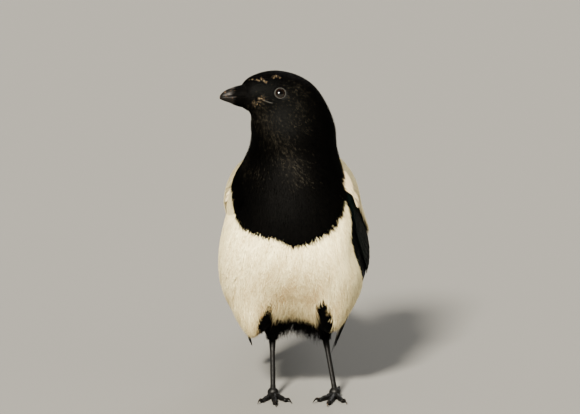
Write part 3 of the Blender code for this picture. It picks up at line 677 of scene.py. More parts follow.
def white_tones(number, middle, spread):
    """Random tones of white barbs round a middle."""
    return np.clip(coat_random.normal(middle, spread, number), 0, 1)


def near(points, line, reach):
    """One on a line seen from in front, falling away with the distance from it as a bell:
    a number's exponent of minus the square of the nearest distance over the reach."""
    across, level = seen(points)
    nearest = np.full(across.shape, 1e9)
    for (x0, y0), (x1, y1) in zip(line[:-1], line[1:]):
        dx, dy = x1 - x0, y1 - y0
        share = np.clip(((across - x0) * dx + (level - y0) * dy) / (dx * dx + dy * dy), 0, 1)
        gap = np.hypot(across - x0 - share * dx, level - y0 - share * dy)
        nearest = np.minimum(nearest, gap)
    return np.exp(-((nearest / reach) ** 2))


# Lines as seen from in front, on the head's left side: greyish shafts on the throat, pale shafts on
# the neck and over the ear coverts as painted sheen, frayed brown tips over the brow and at the corner
# of the mouth, and painted shade on the lores
THROAT_STREAKS = [(-23.0, 196.5), (-15.0, 184.0), (-7.0, 172.0), (2.0, 156.0)]
NECK_SHEEN = [(-35.0, 166.0), (-30.0, 160.0), (-25.0, 156.0)]
EAR_SHEEN = [(2.0, 210.0), (5.0, 198.0), (2.0, 188.0)]
BROW_FRAY = [(-28.8, 216.4), (-21.8, 216.7), (-19.0, 215.8), (-14.4, 214.4)]
CROWN_FRAY = [(-13.9, 218.0), (-11.1, 219.4), (-8.9, 218.8)]
GAPE_FRAY = [(-26.0, 201.0), (-23.8, 202.2), (-21.0, 204.0)]
LORES_SHADE = [(-26.0, 210.0), (-16.0, 209.0)]
# Bare round each eye's front, and before this ring
EYE_BARE, FIRST_RING = 4.0, 0.12
# A barb's colour is read at this share of its length
COLOUR_AT = 0.6

ring, bearing = coat_roots(1.0)
here, back, normal, _ = body_frame(ring, bearing)
count = len(ring)
eye_gap = [np.linalg.norm(here - eye_point(s, LID_AHEAD, 0, 0), axis=-1) for s in (1, -1)]
clear = (np.minimum(*eye_gap) > EYE_BARE) & (ring > FIRST_RING)
on_left = here[:, 0] > 0
sizes = smooth_rows(np.arange(LAST + 1), COAT_TABLE[:, 1:], ring)
clump_u, clump_v = bearing * 34.0, ring * 5.0
length = sizes[:, 0] * coat_random.uniform(0.75, 1.2, count)
width = sizes[:, 1] * coat_random.uniform(0.75, 1.25, count)
depth = coat_depth(ring)
sway = 0.035 * wander(clump_u, clump_v, 3) + coat_random.normal(0, 0.03, count)
uneven = wander(clump_u, clump_v, 5) * 0.14 + coat_random.uniform(-0.35, 0.12, count)
rise = uneven * depth / 3.0 + np.interp(ring, [2.6, 3.6, 4.6, 6.0, 7.2], [0.0, 1.0, 1.3, 1.2, 0.0])
# The barbs are shorter near the bib's edge, so that it stays crisp
short = np.exp(-((bib_height(here + back * (length * COLOUR_AT)[:, None]) / 6.0) ** 2))
length = length * (1 - 0.3 * short)
darkness = blackness(here + back * (length * COLOUR_AT)[:, None], ring, bearing)
coat_black = darkness + coat_random.normal(0, 0.5, count) > 0
facing = normal @ np.array([0.0, -SEEN_UP, SEEN_BACK]) > 0.05
# Painted sheen: on the neck and ear coverts these pale barbs stand in for light gleaming there; on the
# throat they are real grey shafts
streaks_and_sheen = np.maximum(near(here, THROAT_STREAKS, 8.0), 0.8 * near(here, NECK_SHEEN, 6.0))
streaks_and_sheen = np.maximum(streaks_and_sheen, 0.6 * near(here, EAR_SHEEN, 7.0)) * facing
tone_black = black_tones(count) + streaks_and_sheen * coat_random.beta(1.3, 2.0, count) * 0.9
tone_white = 0.70 + 0.12 * wander(clump_u * 1.3, clump_v, 9) + coat_random.normal(0, 0.14, count)
# Painted shade: a warm darkening in the middle of the belly, low down, where shade falls under its
# curve
belly_painted_shade = np.exp(-((here[:, 0] / 34) ** 2) - ((here[:, 2] - 80) / 26) ** 2) * (here[:, 1] < 20)
tone = np.clip(np.where(coat_black, tone_black, tone_white - 0.36 * belly_painted_shade), 0, 1)
# Low on the belly the feathers are long and hair-like, in strands that draw together over
# the thighs
low_belly = np.clip((84 - here[:, 2]) / 22, 0, 1) * np.clip(-1.4 * np.cos(bearing), 0, 1)
thigh_at = np.where(on_left, 20.5, 14.5)
gather = np.clip((np.abs(here[:, 0]) - thigh_at) / 12.0, -0.5, 1.0) * np.where(on_left, 1, -1)
gather = gather * np.clip(-darkness / 10.0 - 0.2, 0, 1)
sway = sway + low_belly * (0.12 * gather + 0.035 * wander(clump_u * 2.4, clump_v * 1.2, 11))
# Painted shade: low on the belly the white is made darker, and each strand lighter on its ridge and
# darker in its hollows, following its rise
strand = wander(clump_u * 3.1, clump_v * 1.1, 13)
tone = np.clip(tone + np.where(coat_black, 0, low_belly * (0.22 * strand - 0.20)), 0, 1)
rise = rise + low_belly * 0.35 * strand
droop = 1.2 * low_belly
length = length * (1 + 0.2 * low_belly)
hairs = (coat_random.random(count) < 0.3 * low_belly) & (darkness < -3.0)
length = np.where(hairs, length * 1.35, length)
width = np.where(hairs, width * 0.5, width)
rise = np.where(hairs, rise + coat_random.uniform(0.2, 1.3, count), rise)
# Frayed tips stand in specks along their lines
fray = np.maximum(near(here, BROW_FRAY, 0.75) * 0.8, near(here, CROWN_FRAY, 0.9) * 0.7)
fray = np.maximum(fray, near(here, GAPE_FRAY, 1.9) * 0.9) * facing
across, level = seen(here)
specks = np.clip(0.7 + 1.6 * wander(across * 3.4, level * 3.4, 21), 0, 1)
frayed = (coat_random.random(count) < fray * specks * 0.8) & (ring < 3.5)
shafts = (coat_random.random(count) < streaks_and_sheen * 0.30) & ~frayed
# Painted shade: the black barbs on the lores are darkened where the light would show a sheen
tone = np.where(coat_black, tone * (1 - 0.8 * near(here, LORES_SHADE, 7.0) * facing), tone)

# Kinds of barb, with what each does to a barb's length and width and adds to its rise
BLACK, WHITE, FRAYED, SHAFT_AND_SHEEN = range(4)
kind = np.where(coat_black, np.where(frayed, FRAYED, np.where(shafts, SHAFT_AND_SHEEN, BLACK)), WHITE)
length = length * np.choose(kind, [1.0, 1.0, 0.34, 0.65])
width = width * np.choose(kind, [1.0, 1.0, 0.85, 0.42])
rise = rise + np.choose(kind, [0.0, 0.0, 0.3, 0.25])
tone = np.where(kind >= FRAYED, coat_random.random(count) ** 1.4, tone)

# Each piece: where its barbs are rooted, by rings from the bill and by side, and their kind
on_head = (ring >= 2.0) & (ring < 4.6)
on_neck = (ring >= 4.6) & (ring < 6.6)
on_belly = (ring >= 8.8) & (ring < 10)
above, front = np.cos(bearing) > 0, np.cos(bearing) <= 0.3
COAT_PIECES = {
    "coat_face": (ring < 2.0, BLACK),
    "coat_crown_and_nape": (on_head & above, BLACK),
    "coat_throat": (on_head & ~above, BLACK),
    "coat_neck_left": (on_neck & on_left, BLACK),
    "coat_neck_right": (on_neck & ~on_left, BLACK),
    "coat_bib": ((ring >= 6.6) & front, BLACK),
    "coat_back": ((ring >= 6.6) & ~front, BLACK),
    "coat_breast_left": ((ring < 8.8) & on_left, WHITE),
    "coat_breast_right": ((ring < 8.8) & ~on_left, WHITE),
    "coat_belly_left": (on_belly & on_left, WHITE),
    "coat_belly_right": (on_belly & ~on_left, WHITE),
    "coat_vent_left": ((ring >= 10) & on_left, WHITE),
    "coat_vent_right": ((ring >= 10) & ~on_left, WHITE),
    "coat_frayed_tips": (ring < 3.5, FRAYED),
    "coat_grey_shafts_and_sheen": (ring < 8.0, SHAFT_AND_SHEEN),
}
for name, (region, wanted) in COAT_PIECES.items():
    pick = region & clear & (kind == wanted)
    middle, upright = lie_on_body(ring[pick], bearing[pick], length[pick], depth[pick],
                                  sway[pick], rise[pick], droop[pick])
    look = (black_coat, white_coat, frayed_coat, shaft_and_sheen_coat)[wanted]
    piece = blades(name, middle, upright, width[pick], tone[pick],
                   body_place(ring[pick], bearing[pick]), look)

# VENT AND FLANK FEATHERS
# Long loose black barbs hang behind the belly between the legs, and soft white flank feathers
# sweep back over the front edge of each folded wing.

VENT_BARBS = 3600
# Number of barbs, first ring, rings over which they are spread and their crowding to the front,
# angles from the belly's middle, then ranges of length, rise, droop and width, depth and sway
FRINGES = {
    "coat_vent_fringe": (VENT_BARBS, 9.5, 2.2, 1.2, (-0.24, 0.16), (10, 16), (0.0, 1.0),
                         (6.0, 15.0), (0.3, 0.5), 3.0, 0.07),
    "coat_belly_fringe": (VENT_BARBS // 3, 8.9, 0.75, 1.0, (-0.17, 0.10), (9, 13), (0.3, 1.4),
                          (1.0, 4.5), (0.2, 0.34), 2.5, 0.05),
}
for name, row in FRINGES.items():
    number, first, spread, crowding, angles, lengths, rises, droops, widths, deep, swaying = row
    along = first + spread * coat_random.random(number) ** crowding
    angle = math.pi + coat_random.uniform(*angles, number)
    middle, upright = lie_on_body(
        along, angle, coat_random.uniform(*lengths, number), np.full(number, deep),
        coat_random.normal(0, swaying, number), coat_random.uniform(*rises, number),
        coat_random.uniform(*droops, number) * np.clip((11.8 - along) / 1.5, 0, 1))
    wide = coat_random.uniform(*widths, number)
    black = name == "coat_vent_fringe"
    tones = black_tones(number) if black else white_tones(number, 0.42, 0.22)
    piece = blades(name, middle, upright, wide, tones, body_place(along, angle),
                   black_coat if black else white_coat)


def wing_sheet(sign, back, across, lift):
    """The folded wing's curved sheet: an ellipse across the bird, carried down its side. back
    is the distance behind the wrist, across is round it from its widest line, lift is over it."""
    at = np.asarray(back, float) + WRIST_AT
    wide, deep = wing_sizes(sign, at)
    turn = math.pi / 2 - across / ((wide + deep) / 2)
    sine, cosine = np.sin(turn), np.cos(turn)
    out = np.array([float(sign), 0.0, 0.0])
    normal = unit((sine * deep)[..., None] * out + (cosine * wide)[..., None] * WING_DORSAL)
    base = WING_ORIGIN + at[..., None] * WING_REAR
    base = base + (wide * sine)[..., None] * out + (deep * cosine)[..., None] * WING_DORSAL
    return base + np.asarray(lift)[..., None] * normal


def wing_place(sign, back, across):
    """Place of a root on the wing's sheet, laid out flat with the wrist in the middle."""
    return np.stack([0.5 + sign * across / 90.0, 0.5 + back / 200.0], -1)


# Flank feathers over the right wing, along its front edge and before its wrist: number of
# barbs, front and rear ends, low and high edges, how much the region narrows to the rear and
# reaches lower in front, height over the sheet, and shortest and longest
RIGHT = -1
FLANKS = [
    (4200, (-10.0, 40.0), (-17.0, 6.0), 0.75, 4.0, 9.6, (9.0, 13.0)),
    (5200, (-17.0, -7.5), (-8.0, 30.0), 0.0, 0.0, 9.0, (5.0, 8.0)),
]
for order, (number, (first, last), (low, high), most, lower, height, lengths) in enumerate(FLANKS):
    number = number
    back_at = coat_random.uniform(first, last, number)
    narrowing = most * np.clip(back_at / last, 0, 1) ** 1.8
    across_at = low + (high - low) * (1 - narrowing) * coat_random.random(number)
    across_at = across_at - lower * np.clip(-back_at / 10.0, 0, 1)
    reach = coat_random.uniform(*lengths, number)
    back_line = back_at[:, None] + (reach * 0.8)[:, None] * STATIONS
    lean = 0.62 + 0.12 * coat_random.standard_normal(number)
    across_line = across_at[:, None] - (reach * lean)[:, None] * STATIONS
    edge = np.clip((across_line + 17.0) / 9.0, 0, 1) * np.clip((back_line + 16.0) / 9.0, 0, 1)
    lift = -1.0 + (height + coat_random.uniform(-0.5, 0.4, number)[:, None]) * np.sqrt(edge)
    lift = lift - np.array([1.5, 0.4, 0.0])
    middle = wing_sheet(RIGHT, back_line, across_line, lift)
    upright = unit(wing_sheet(RIGHT, back_line, across_line, lift + 1.0) - middle)
    place = wing_place(RIGHT, back_at, across_at)
    wide = coat_random.uniform(0.36, 0.54, number)
    is_black = bib_height(middle[:, 1]) + coat_random.normal(0, 0.8, number) > 0
    tones = np.where(is_black, black_tones(number), white_tones(number, 0.66, 0.16))
    for colour, pick, look in (("black", is_black, black_coat), ("white", ~is_black, white_coat)):
        if pick.any():
            piece = blades(f"coat_flank_{order}_{colour}", middle[pick], upright[pick],
                           wide[pick], tones[pick], place[pick], look)

# THIGH FEATHERS
# Short black barbs that cover each thigh down to the ankle and hang a little over it.

THIGH_BARBS = 3400


def thigh_barbs(name, side):
    """Barbs on a thigh: down the level ellipses of its surface, standing off more at the top
    where the feathers are bushy."""
    order = np.arange(THIGH_BARBS)
    first, second = ((0.5 + order * step) % 1 for step in EVEN_STEPS)
    down = 0.2 + 4.6 * first**0.85
    turn = 2 * math.pi * second
    wanted = down[:, None] + 1.15 * STATIONS
    at = np.minimum(wanted, THIGH_END)
    spin = turn[:, None] + coat_random.normal(0, 0.12, THIGH_BARBS)[:, None] * STATIONS
    bushy = (1.6 + 1.4 * np.clip((3.4 - down) / 3, 0, 1)) * coat_random.random(THIGH_BARBS)
    inset = THIGH_COAT * (1 - STATIONS) ** 1.4 - bushy[:, None] * STATIONS
    middle = thigh_point(side, at, spin, np.minimum(inset, 0.2 + THIGH_END - at))
    upright = unit(np.stack([np.sin(spin), np.cos(spin), 0.25 + 0 * spin], -1))
    middle[..., 2] -= (wanted - at) * 3.5
    place = np.stack([turn / (2 * math.pi), down / THIGH_END], -1) * 0.98 + 0.01
    piece = blades(name, middle, upright, coat_random.uniform(0.3, 0.48, THIGH_BARBS),
                   black_tones(THIGH_BARBS, 4.0), place, black_coat)


thigh_barbs("coat_thigh_left", 1)
thigh_barbs("coat_thigh_right", -1)

# EYES AND LIDS
# Dark brown glossy eyeballs set in the head, each in a thin bare ring of greyish skin.



def ramped(tree, value, shades):
    """A colour that follows a value through shades, pairs of a place from 0 to 1 and a colour."""
    ramp = tree.nodes.new("ShaderNodeValToRGB")
    for element, (place, colour) in zip(ramp.color_ramp.elements, (shades[0], shades[-1])):
        element.position = place
        element.color = (*colour, 1.0)
    for place, colour in shades[1:-1]:
        ramp.color_ramp.elements.new(place).color = (*colour, 1.0)
    tree.links.new(value, ramp.inputs["Fac"])
    return ramp.outputs["Color"]


eye_look, tree, shader = plain_material("eye_brown_look", (0.01, 0.006, 0.004), 0.05,
                                        {"Specular IOR Level": 0.5})
iris = ramped(tree, attribute(tree, "off_axis"), [
    (0.50, (0.0005, 0.0004, 0.0003)), (0.56, (0.005, 0.0025, 0.0014)), (0.80, (0.003, 0.0016, 0.001))])
fibres = worked(tree, "MULTIPLY_ADD", noise(tree, object_place(tree), 2200.0), 0.8, 0.6)
tint = tree.nodes.new("ShaderNodeHueSaturation")
tree.links.new(iris, tint.inputs["Color"])
tree.links.new(fibres, tint.inputs["Value"])
tree.links.new(tint.outputs["Color"], shader.inputs["Base Color"])
lid_look, tree, shader = plain_material("eyelid_skin", (0.06, 0.055, 0.05), 0.6)
wrinkle = noise(tree, object_place(tree), 1100.0)
tree.links.new(mixed(tree, wrinkle, (0.002, 0.002, 0.0017), (0.045, 0.042, 0.034)),
               shader.inputs["Base Color"])
EYE_ROWS, EYE_SIDES = 33, 48
LID_ROWS, LID_SIDES, LID_RADIUS, LID_THICK = 64, 12, 3.66, 0.13


def eyeball(name, sign):
    """A ball of rings round the direction in which the eye looks."""
    polar = np.linspace(0.02, math.pi - 0.02, EYE_ROWS)[:, None]
    turn = circle(EYE_SIDES)[None, :] * sign
    ahead = EYE_RADIUS * np.cos(polar) + 0 * turn
    points = eye_point(sign, ahead, EYE_RADIUS * np.sin(polar) * np.cos(turn),
                       EYE_RADIUS * np.sin(polar) * np.sin(turn))
    off_axis = np.broadcast_to(np.sin(np.minimum(polar, math.pi / 2)), ahead.shape)
    return mesh_piece(name, points, tube_faces(EYE_ROWS, EYE_SIDES), eye_look,
                      values={"off_axis": off_axis})


def eyelids(name, sign):
    """A ring round the eye: a small circle carried round a larger one, thicker behind."""
    turn = circle(LID_ROWS)[:, None] * sign
    tube = circle(LID_SIDES)[None, :]
    thick = LID_THICK + 0.04 * np.cos(turn)
    radius = LID_RADIUS + thick * np.cos(tube)
    ahead = LID_AHEAD + 0.02 + thick * np.sin(tube) + 0 * turn
    points = eye_point(sign, ahead, radius * np.cos(turn), radius * np.sin(turn) * 0.96)
    faces = grid_faces(LID_ROWS + 1, LID_SIDES) % (LID_ROWS * LID_SIDES)
    return mesh_piece(name, points, [faces], lid_look)


for sign, side in ((1, "left"), (-1, "right")):
    ball = eyeball("eyeball_" + side, sign)
    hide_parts("eye_" + side)
    eyelids("eyelids_" + side, sign)

# THE BILL
# Two stout black horn halves that meet along the mouth line, the upper slightly hooked over
# the lower. Stiff black bristles lie forward over its base and hide the nostrils.

BILL_BASE, BILL_GAP, BILL_LENGTH, BILL_HOOK = 28.4, 0.3, 14.0, 0.9
# The mouth line: its height at the bill, where it starts to drop, its corner and its drop
MOUTH_UP, MOUTH_BEND, GAPE_CORNER, GAPE_DROP, MOUTH_SLIT = 0.8, 22.0, 6.0, 3.4, 0.5
# Distance before the base, half width, and height above and below the mouth line
BILL_STATIONS = np.array([
    [0.0, 6.0, 5.3, 7.0],
    [4.0, 5.0, 5.1, 6.2],
    [8.0, 3.9, 4.3, 4.6],
    [11.0, 2.9, 3.0, 3.2],
    [13.0, 1.8, 1.7, 2.0],
    [14.0, 0.7, 0.5, 1.1],
])


def mouth_line(forward):
    """Height of the mouth line over the head's centre."""
    back = np.clip((MOUTH_BEND - forward) / (MOUTH_BEND - GAPE_CORNER), 0, 1)
    return MOUTH_UP - GAPE_DROP * back**1.3


def bumped(tree, shader, height, strength, distance):
    """Relief of a surface from a height, and its node."""
    bump = tree.nodes.new("ShaderNodeBump")
    bump.inputs["Strength"].default_value = strength
    bump.inputs["Distance"].default_value = distance
    tree.links.new(height, bump.inputs["Height"])
    tree.links.new(bump.outputs["Normal"], shader.inputs["Normal"])
    return bump


horn_look, tree, shader = plain_material("bill_horn_look", (0.012, 0.011, 0.010), 0.42,
                                         {"Specular IOR Level": 0.1})
where = object_place(tree)
worn = noise(tree, where, 420.0, 5.0)
horn = mixed(tree, worn, (0.0004, 0.00035, 0.0003), (0.0036, 0.0031, 0.0025))
scuffs = worked(tree, "MULTIPLY_ADD", noise(tree, where, 800.0, 4.0), 9.0, -5.4, clamp=True)
horn = mixed(tree, scuffs, horn, (0.085, 0.048, 0.027))
tree.links.new(horn, shader.inputs["Base Color"])
tree.links.new(worked(tree, "MULTIPLY_ADD", worn, 0.35, 0.36), shader.inputs["Roughness"])
bumped(tree, shader, worn, 0.35, 0.0002)
BILL_ROWS, BILL_SIDES = 45, 27


def bill_surface(forward, turn, upper):
    """Half ovals across the bill from its base to its tip: half width times cos(turn) across,
    and the middle's height plus the depth times sin(turn) up or down. The middle follows the
    mouth line and hooks down with the fourth power of the way to the tip."""
    forward, turn = np.broadcast_arrays(forward, turn)
    wide, above, below = np.moveaxis(
        smooth_rows(BILL_STATIONS[:, 0], BILL_STATIONS[:, 1:], forward), -1, 0)
    at = BILL_BASE + BILL_GAP + forward
    hook = BILL_HOOK * (np.maximum(forward, 0) / BILL_LENGTH) ** 4
    slit = MOUTH_SLIT / 2 - 0.12
    level = mouth_line(at) - hook + (slit if upper else -slit)
    depth = above if upper else -below
    rise = depth * np.sin(turn) ** (1.0 if upper else 0.85)
    return head_point(at, wide * np.cos(turn), level + rise)


def bill_half(name, upper):
    """One half of the bill, closed across its base and its tip."""
    forward = np.concatenate([[-3.0], np.linspace(0, BILL_LENGTH, BILL_ROWS - 1)])[:, None]
    turn = np.linspace(0, math.pi, BILL_SIDES)[None, :]
    points = bill_surface(forward, turn, upper)
    return mesh_piece(name, points, tube_faces(BILL_ROWS, BILL_SIDES), horn_look)


for half in ("upper", "lower"):
    piece = bill_half("bill_horn_" + half, half == "upper")
    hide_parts("bill_" + half)

# Bristles over the upper bill and chin feathers under the lower one, both pointing forward
for name, number, upper, reach in (("bristles", 1700, True, (3.0, 9.5)),
                                   ("chin_feathers", 1500, False, (3.0, 8.0))):
    number = number
    turn = coat_random.uniform(0.02, math.pi - 0.02, number)[:, None] + 0 * STATIONS
    root = coat_random.uniform(-6.0, -0.5, number)
    length = coat_random.uniform(*reach, number)
    if upper:
        length = length * (0.55 + 0.45 * np.abs(np.cos(turn[:, 0])))
    forward = root[:, None] + length[:, None] * STATIONS
    turn = turn + coat_random.normal(0, 0.08, number)[:, None] * STATIONS
    turn = np.clip(turn, 0.01, math.pi - 0.01)
    surface = bill_surface(np.maximum(forward, 0.0), turn, upper)
    surface = surface + np.minimum(forward, 0.0)[..., None] * HEAD_FORWARD
    outward = unit(surface - head_point(BILL_BASE + forward, 0 * forward, 0 * forward))
    behind = np.clip(-root - 1.5, 0, 5)[:, None] / 5
    lift = np.array([0.3, 0.3, 0.1]) + coat_random.uniform(-0.15, 0.3, number)[:, None]
    lift = lift + behind * np.array([0.5, 1.1, 0.6])
    piece = blades(name, surface + outward * lift[..., None], outward,
                   coat_random.uniform(0.2, 0.34, number), black_tones(number, 4.0),
                   np.stack([turn[:, 0] / math.pi * 0.5 + 0.25, 0.02 - root / 400.0], -1),
                   black_coat)

# The crease of bare skin behind the corner of the mouth: a thin ridge that tapers both ways
CREASE = np.array([[16.2, 13.5, -1.3], [13.6, 14.2, -2.3], [11.4, 14.75, -3.1], [9.6, 15.1, -3.3]])
CREASE_ROWS, CREASE_SIDES = 16, 8
for sign, side in ((1, "left"), (-1, "right")):
    share = np.linspace(0, 1, CREASE_ROWS)
    line = smooth_rows(np.linspace(0, 1, 4), CREASE, share)
    spine = head_point(line[:, 0], sign * (line[:, 1] + 0.35), line[:, 2])[:, None, :]
    turn = circle(CREASE_SIDES)[None, :, None] * sign
    size = (0.03 + 0.17 * np.sin(math.pi * share) ** 0.7)[:, None, None]
    ring = size * (np.cos(turn) * UP + np.sin(turn) * HEAD_LEFT * sign)
    piece = mesh_piece("mouth_crease_" + side, spine + ring, tube_faces(CREASE_ROWS, CREASE_SIDES),
                       lid_look)

# THE WINGS
# A fleshy arm with tiers of overlapping vanes: long stiff flight feathers below, then coverts
# in shorter and shorter tiers, and broad white shoulder feathers over the upper edge.

VANE_COLUMNS = np.array([-1.0, -0.72, -0.4, -0.1, 0.0, 0.1, 0.4, 0.72, 1.0])
VANE_ROWS = 15
# Shares of a feather's length at which its middle height is reached and its tip starts to close
VANE_MIDDLE, VANE_CLOSING = 0.45, 0.74


def vane_tier(name, sheet, sign, vanes, material, tip, thick=0.3):
    """A tier of feathers in one mesh. A feather is a thin plate on a sheet from its root to its
    tip: half width times a share that rises from the quill, stays even and rounds off, arched
    across, with a raised shaft. Columns of vanes: root back, root across, tip back, tip across,
    half width, lift at root, middle and tip, slope across, bow, leading side's share."""
    v = np.asarray(vanes, float)[:, :, None, None]
    t = (1 - (1 - np.linspace(0, 1, VANE_ROWS)) ** 1.35)[None, :, None]
    c = VANE_COLUMNS[None, None, :]
    closing = np.clip((t - VANE_CLOSING) / 0.26, 0, 1)
    share = (0.42 + 0.58 * np.sin(np.clip(t / 0.35, 0, 1) * math.pi / 2)) * np.sqrt(
        np.clip(1 - closing**2.2 * (1 - tip**2), 0, 1))
    half = v[:, 4] * share
    lead = np.where(c < 0, v[:, 10], 1.0)
    back = v[:, 0] + (v[:, 2] - v[:, 0]) * t - 0.12 * half * c**2 * closing + 0 * c
    across = v[:, 1] + (v[:, 3] - v[:, 1]) * t + v[:, 9] * np.sin(math.pi * t) + half * c * lead
    low = (t - VANE_MIDDLE) / VANE_MIDDLE
    high = np.clip((t - VANE_MIDDLE) / 0.55, 0, 1)
    lift = np.where(t < VANE_MIDDLE, v[:, 5] + (v[:, 6] - v[:, 5]) * (1 - low**2),
                    v[:, 6] + (v[:, 7] - v[:, 6]) * high**1.5)
    arch = 0.05 * half * (1 - c**2) + 0.16 * (np.abs(c) < 0.05) * (1 - t)
    lift = lift - v[:, 8] * half * c + arch
    plate = thick * (1 - 0.5 * t) * (1 - 0.6 * np.abs(c) ** 3)
    top = sheet(sign, back + 0 * lift, across + 0 * lift, lift + plate / 2)
    under = sheet(sign, back + 0 * lift, across + 0 * lift, lift - plate / 2)
    count, rows, columns = len(v), VANE_ROWS, len(VANE_COLUMNS)
    points = np.concatenate([top.reshape(count, -1, 3), under.reshape(count, -1, 3)], 1)
    size = rows * columns
    upper = grid_faces(rows, columns, 0, wrap=False)
    lower = grid_faces(rows, columns, size, wrap=False)[:, ::-1]
    edge = np.concatenate([
        np.arange(columns), np.arange(1, rows) * columns + columns - 1,
        (rows - 1) * columns + np.arange(columns - 2, -1, -1), np.arange(rows - 2, 0, -1) * columns,
    ])
    following = np.roll(edge, -1)
    rim = np.stack([edge, edge + size, following + size, following], -1)
    faces = np.concatenate([upper, lower, rim])
    faces = (faces[None] + np.arange(count)[:, None, None] * 2 * size).reshape(-1, 4)
    length = np.hypot(v[:, 2] - v[:, 0], v[:, 3] - v[:, 1])
    vane_uv = np.stack([half * c + 0 * t, length * t + 0 * c], -1).reshape(count, 1, size, 2)
    vane_uv = np.broadcast_to(vane_uv, (count, 2, size, 2)) * MM
    inner = (c * 0.5 + 0.5 + 0 * t).reshape(1, 1, size) * np.array([0.0, 1.0])[None, :, None]
    values = {
        "reach": (t + 0 * c).reshape(1, 1, size),
        "edge": (np.abs(c) + 0 * t).reshape(1, 1, size),
        "tone": coat_random.random(count)[:, None, None],
        "under": inner,
    }
    values = {key: np.broadcast_to(value, (count, 2, size)) for key, value in values.items()}
    return mesh_piece(name, points, [faces], material, uv={"Vane": vane_uv}, values=values)


# Barbs of a stiff vane: fine slanting lines from the shaft on both sides
barb_group, group_in, group_out = values_group(
    "vane_barbs",
    [("Spacing", "NodeSocketFloat", 0.00045), ("Slant", "NodeSocketFloat", 1.3)],
    [("Height", "NodeSocketFloat"), ("Fine", "NodeSocketFloat")],
)
uv_node = barb_group.nodes.new("ShaderNodeUVMap")
uv_node.uv_map = "Vane"
split = barb_group.nodes.new("ShaderNodeSeparateXYZ")
barb_group.links.new(uv_node.outputs["UV"], split.inputs["Vector"])
beside = worked(barb_group, "ABSOLUTE", split.outputs["X"])
slanted = worked(barb_group, "MULTIPLY", beside, group_in.outputs["Slant"])
along_barb = worked(barb_group, "SUBTRACT", split.outputs["Y"], slanted)
soft = noise(barb_group, uv_node.outputs["UV"], 160.0)
wavy = worked(barb_group, "MULTIPLY_ADD", soft, 0.0016, along_barb)
turns = worked(barb_group, "DIVIDE", wavy, group_in.outputs["Spacing"])
wave = worked(barb_group, "SINE", worked(barb_group, "MULTIPLY", turns, 2 * math.pi))
barb_group.links.new(wave, group_out.inputs["Height"])
combined = barb_group.nodes.new("ShaderNodeCombineXYZ")
barb_group.links.new(along_barb, combined.inputs["X"])
streak = noise(barb_group, combined.outputs["Vector"], 900.0, 2.0)
barb_group.links.new(streak, group_out.inputs["Fine"])


def vane_material(name, shades, tips, roughness, metallic=0.0, specular=0.4, panel=None):
    """A stiff feather: a colour along its length from shades, its fine streaks and barb lines.
    shades are pairs of place along the feather and colour, and panel is the colour of the
    inner web's under side where it is pale."""
    made, tree, shader = plain_material(name, shades[0][1], roughness,
                                        {"Metallic": metallic, "Specular IOR Level": specular})
    reach = attribute(tree, "reach")
    barbs = tree.nodes.new("ShaderNodeGroup")
    barbs.node_tree = barb_group
    margin = worked(tree, "POWER", attribute(tree, "edge"), 6.0)
    soft = mixed(tree, worked(tree, "MULTIPLY", margin, 0.6), ramped(tree, reach, shades), tips)
    streaked = worked(tree, "MULTIPLY_ADD", barbs.outputs["Fine"], 0.5, -0.05, clamp=True)
    shown = mixed(tree, streaked, soft, tips)
    if panel:
        web = worked(tree, "MULTIPLY_ADD", attribute(tree, "under"), 14.0, -6.3, clamp=True)
        open_part = worked(tree, "MULTIPLY_ADD", reach, -16.0, 14.4, clamp=True)
        shown = mixed(tree, worked(tree, "MULTIPLY", web, open_part), shown, panel)
    tree.links.new(shown, shader.inputs["Base Color"])
    bumped(tree, shader, barbs.outputs["Height"], 0.35, 0.00008)
    return made


primary_look = vane_material(
    "primary_black_look",
    [(0.0, (0.0003, 0.0006, 0.0009)), (0.7, (0.0005, 0.0012, 0.0018)),
     (1.0, (0.0003, 0.0005, 0.0009))],
    (0.001, 0.0014, 0.0019), 0.55, specular=0.03, panel=(0.40, 0.35, 0.25))
secondary_look = vane_material(
    "secondary_blue_look",
    [(0.0, (0.0006, 0.0016, 0.0046)), (0.6, (0.001, 0.004, 0.014)),
     (1.0, (0.0006, 0.0026, 0.0075))],
    (0.0016, 0.006, 0.017), 0.42, metallic=0.15, specular=0.06)
covert_look = vane_material(
    "covert_green_look",
    [(0.0, (0.0003, 0.0006, 0.0008)), (0.6, (0.0006, 0.0022, 0.0024)),
     (1.0, (0.0009, 0.0038, 0.003))],
    (0.0012, 0.003, 0.0025), 0.55, metallic=0.05, specular=0.03)
# Painted shade: the shoulder feathers' white is much darker than the belly's, for the shade over the
# shoulder patches
scapular_shaded_look = vane_material(
    "scapular_white_shaded_look",
    [(0.0, (0.28, 0.21, 0.11)), (0.5, (0.43, 0.35, 0.20)), (1.0, (0.48, 0.40, 0.24))],
    (0.56, 0.48, 0.31), 0.8, specular=0.06)
arm_look, tree, shader = plain_material("arm_down", (0.004, 0.005, 0.007), 0.7,
                                        {"Specular IOR Level": 0.03})
down = noise(tree, object_place(tree), 900.0)
tree.links.new(mixed(tree, down, (0.0004, 0.0005, 0.0008), (0.0014, 0.0018, 0.0022)),
               shader.inputs["Base Color"])


def rows_of(first, last, count):
    """count rows that go evenly from first to last."""
    return np.linspace(np.asarray(first, float), np.asarray(last, float), count)


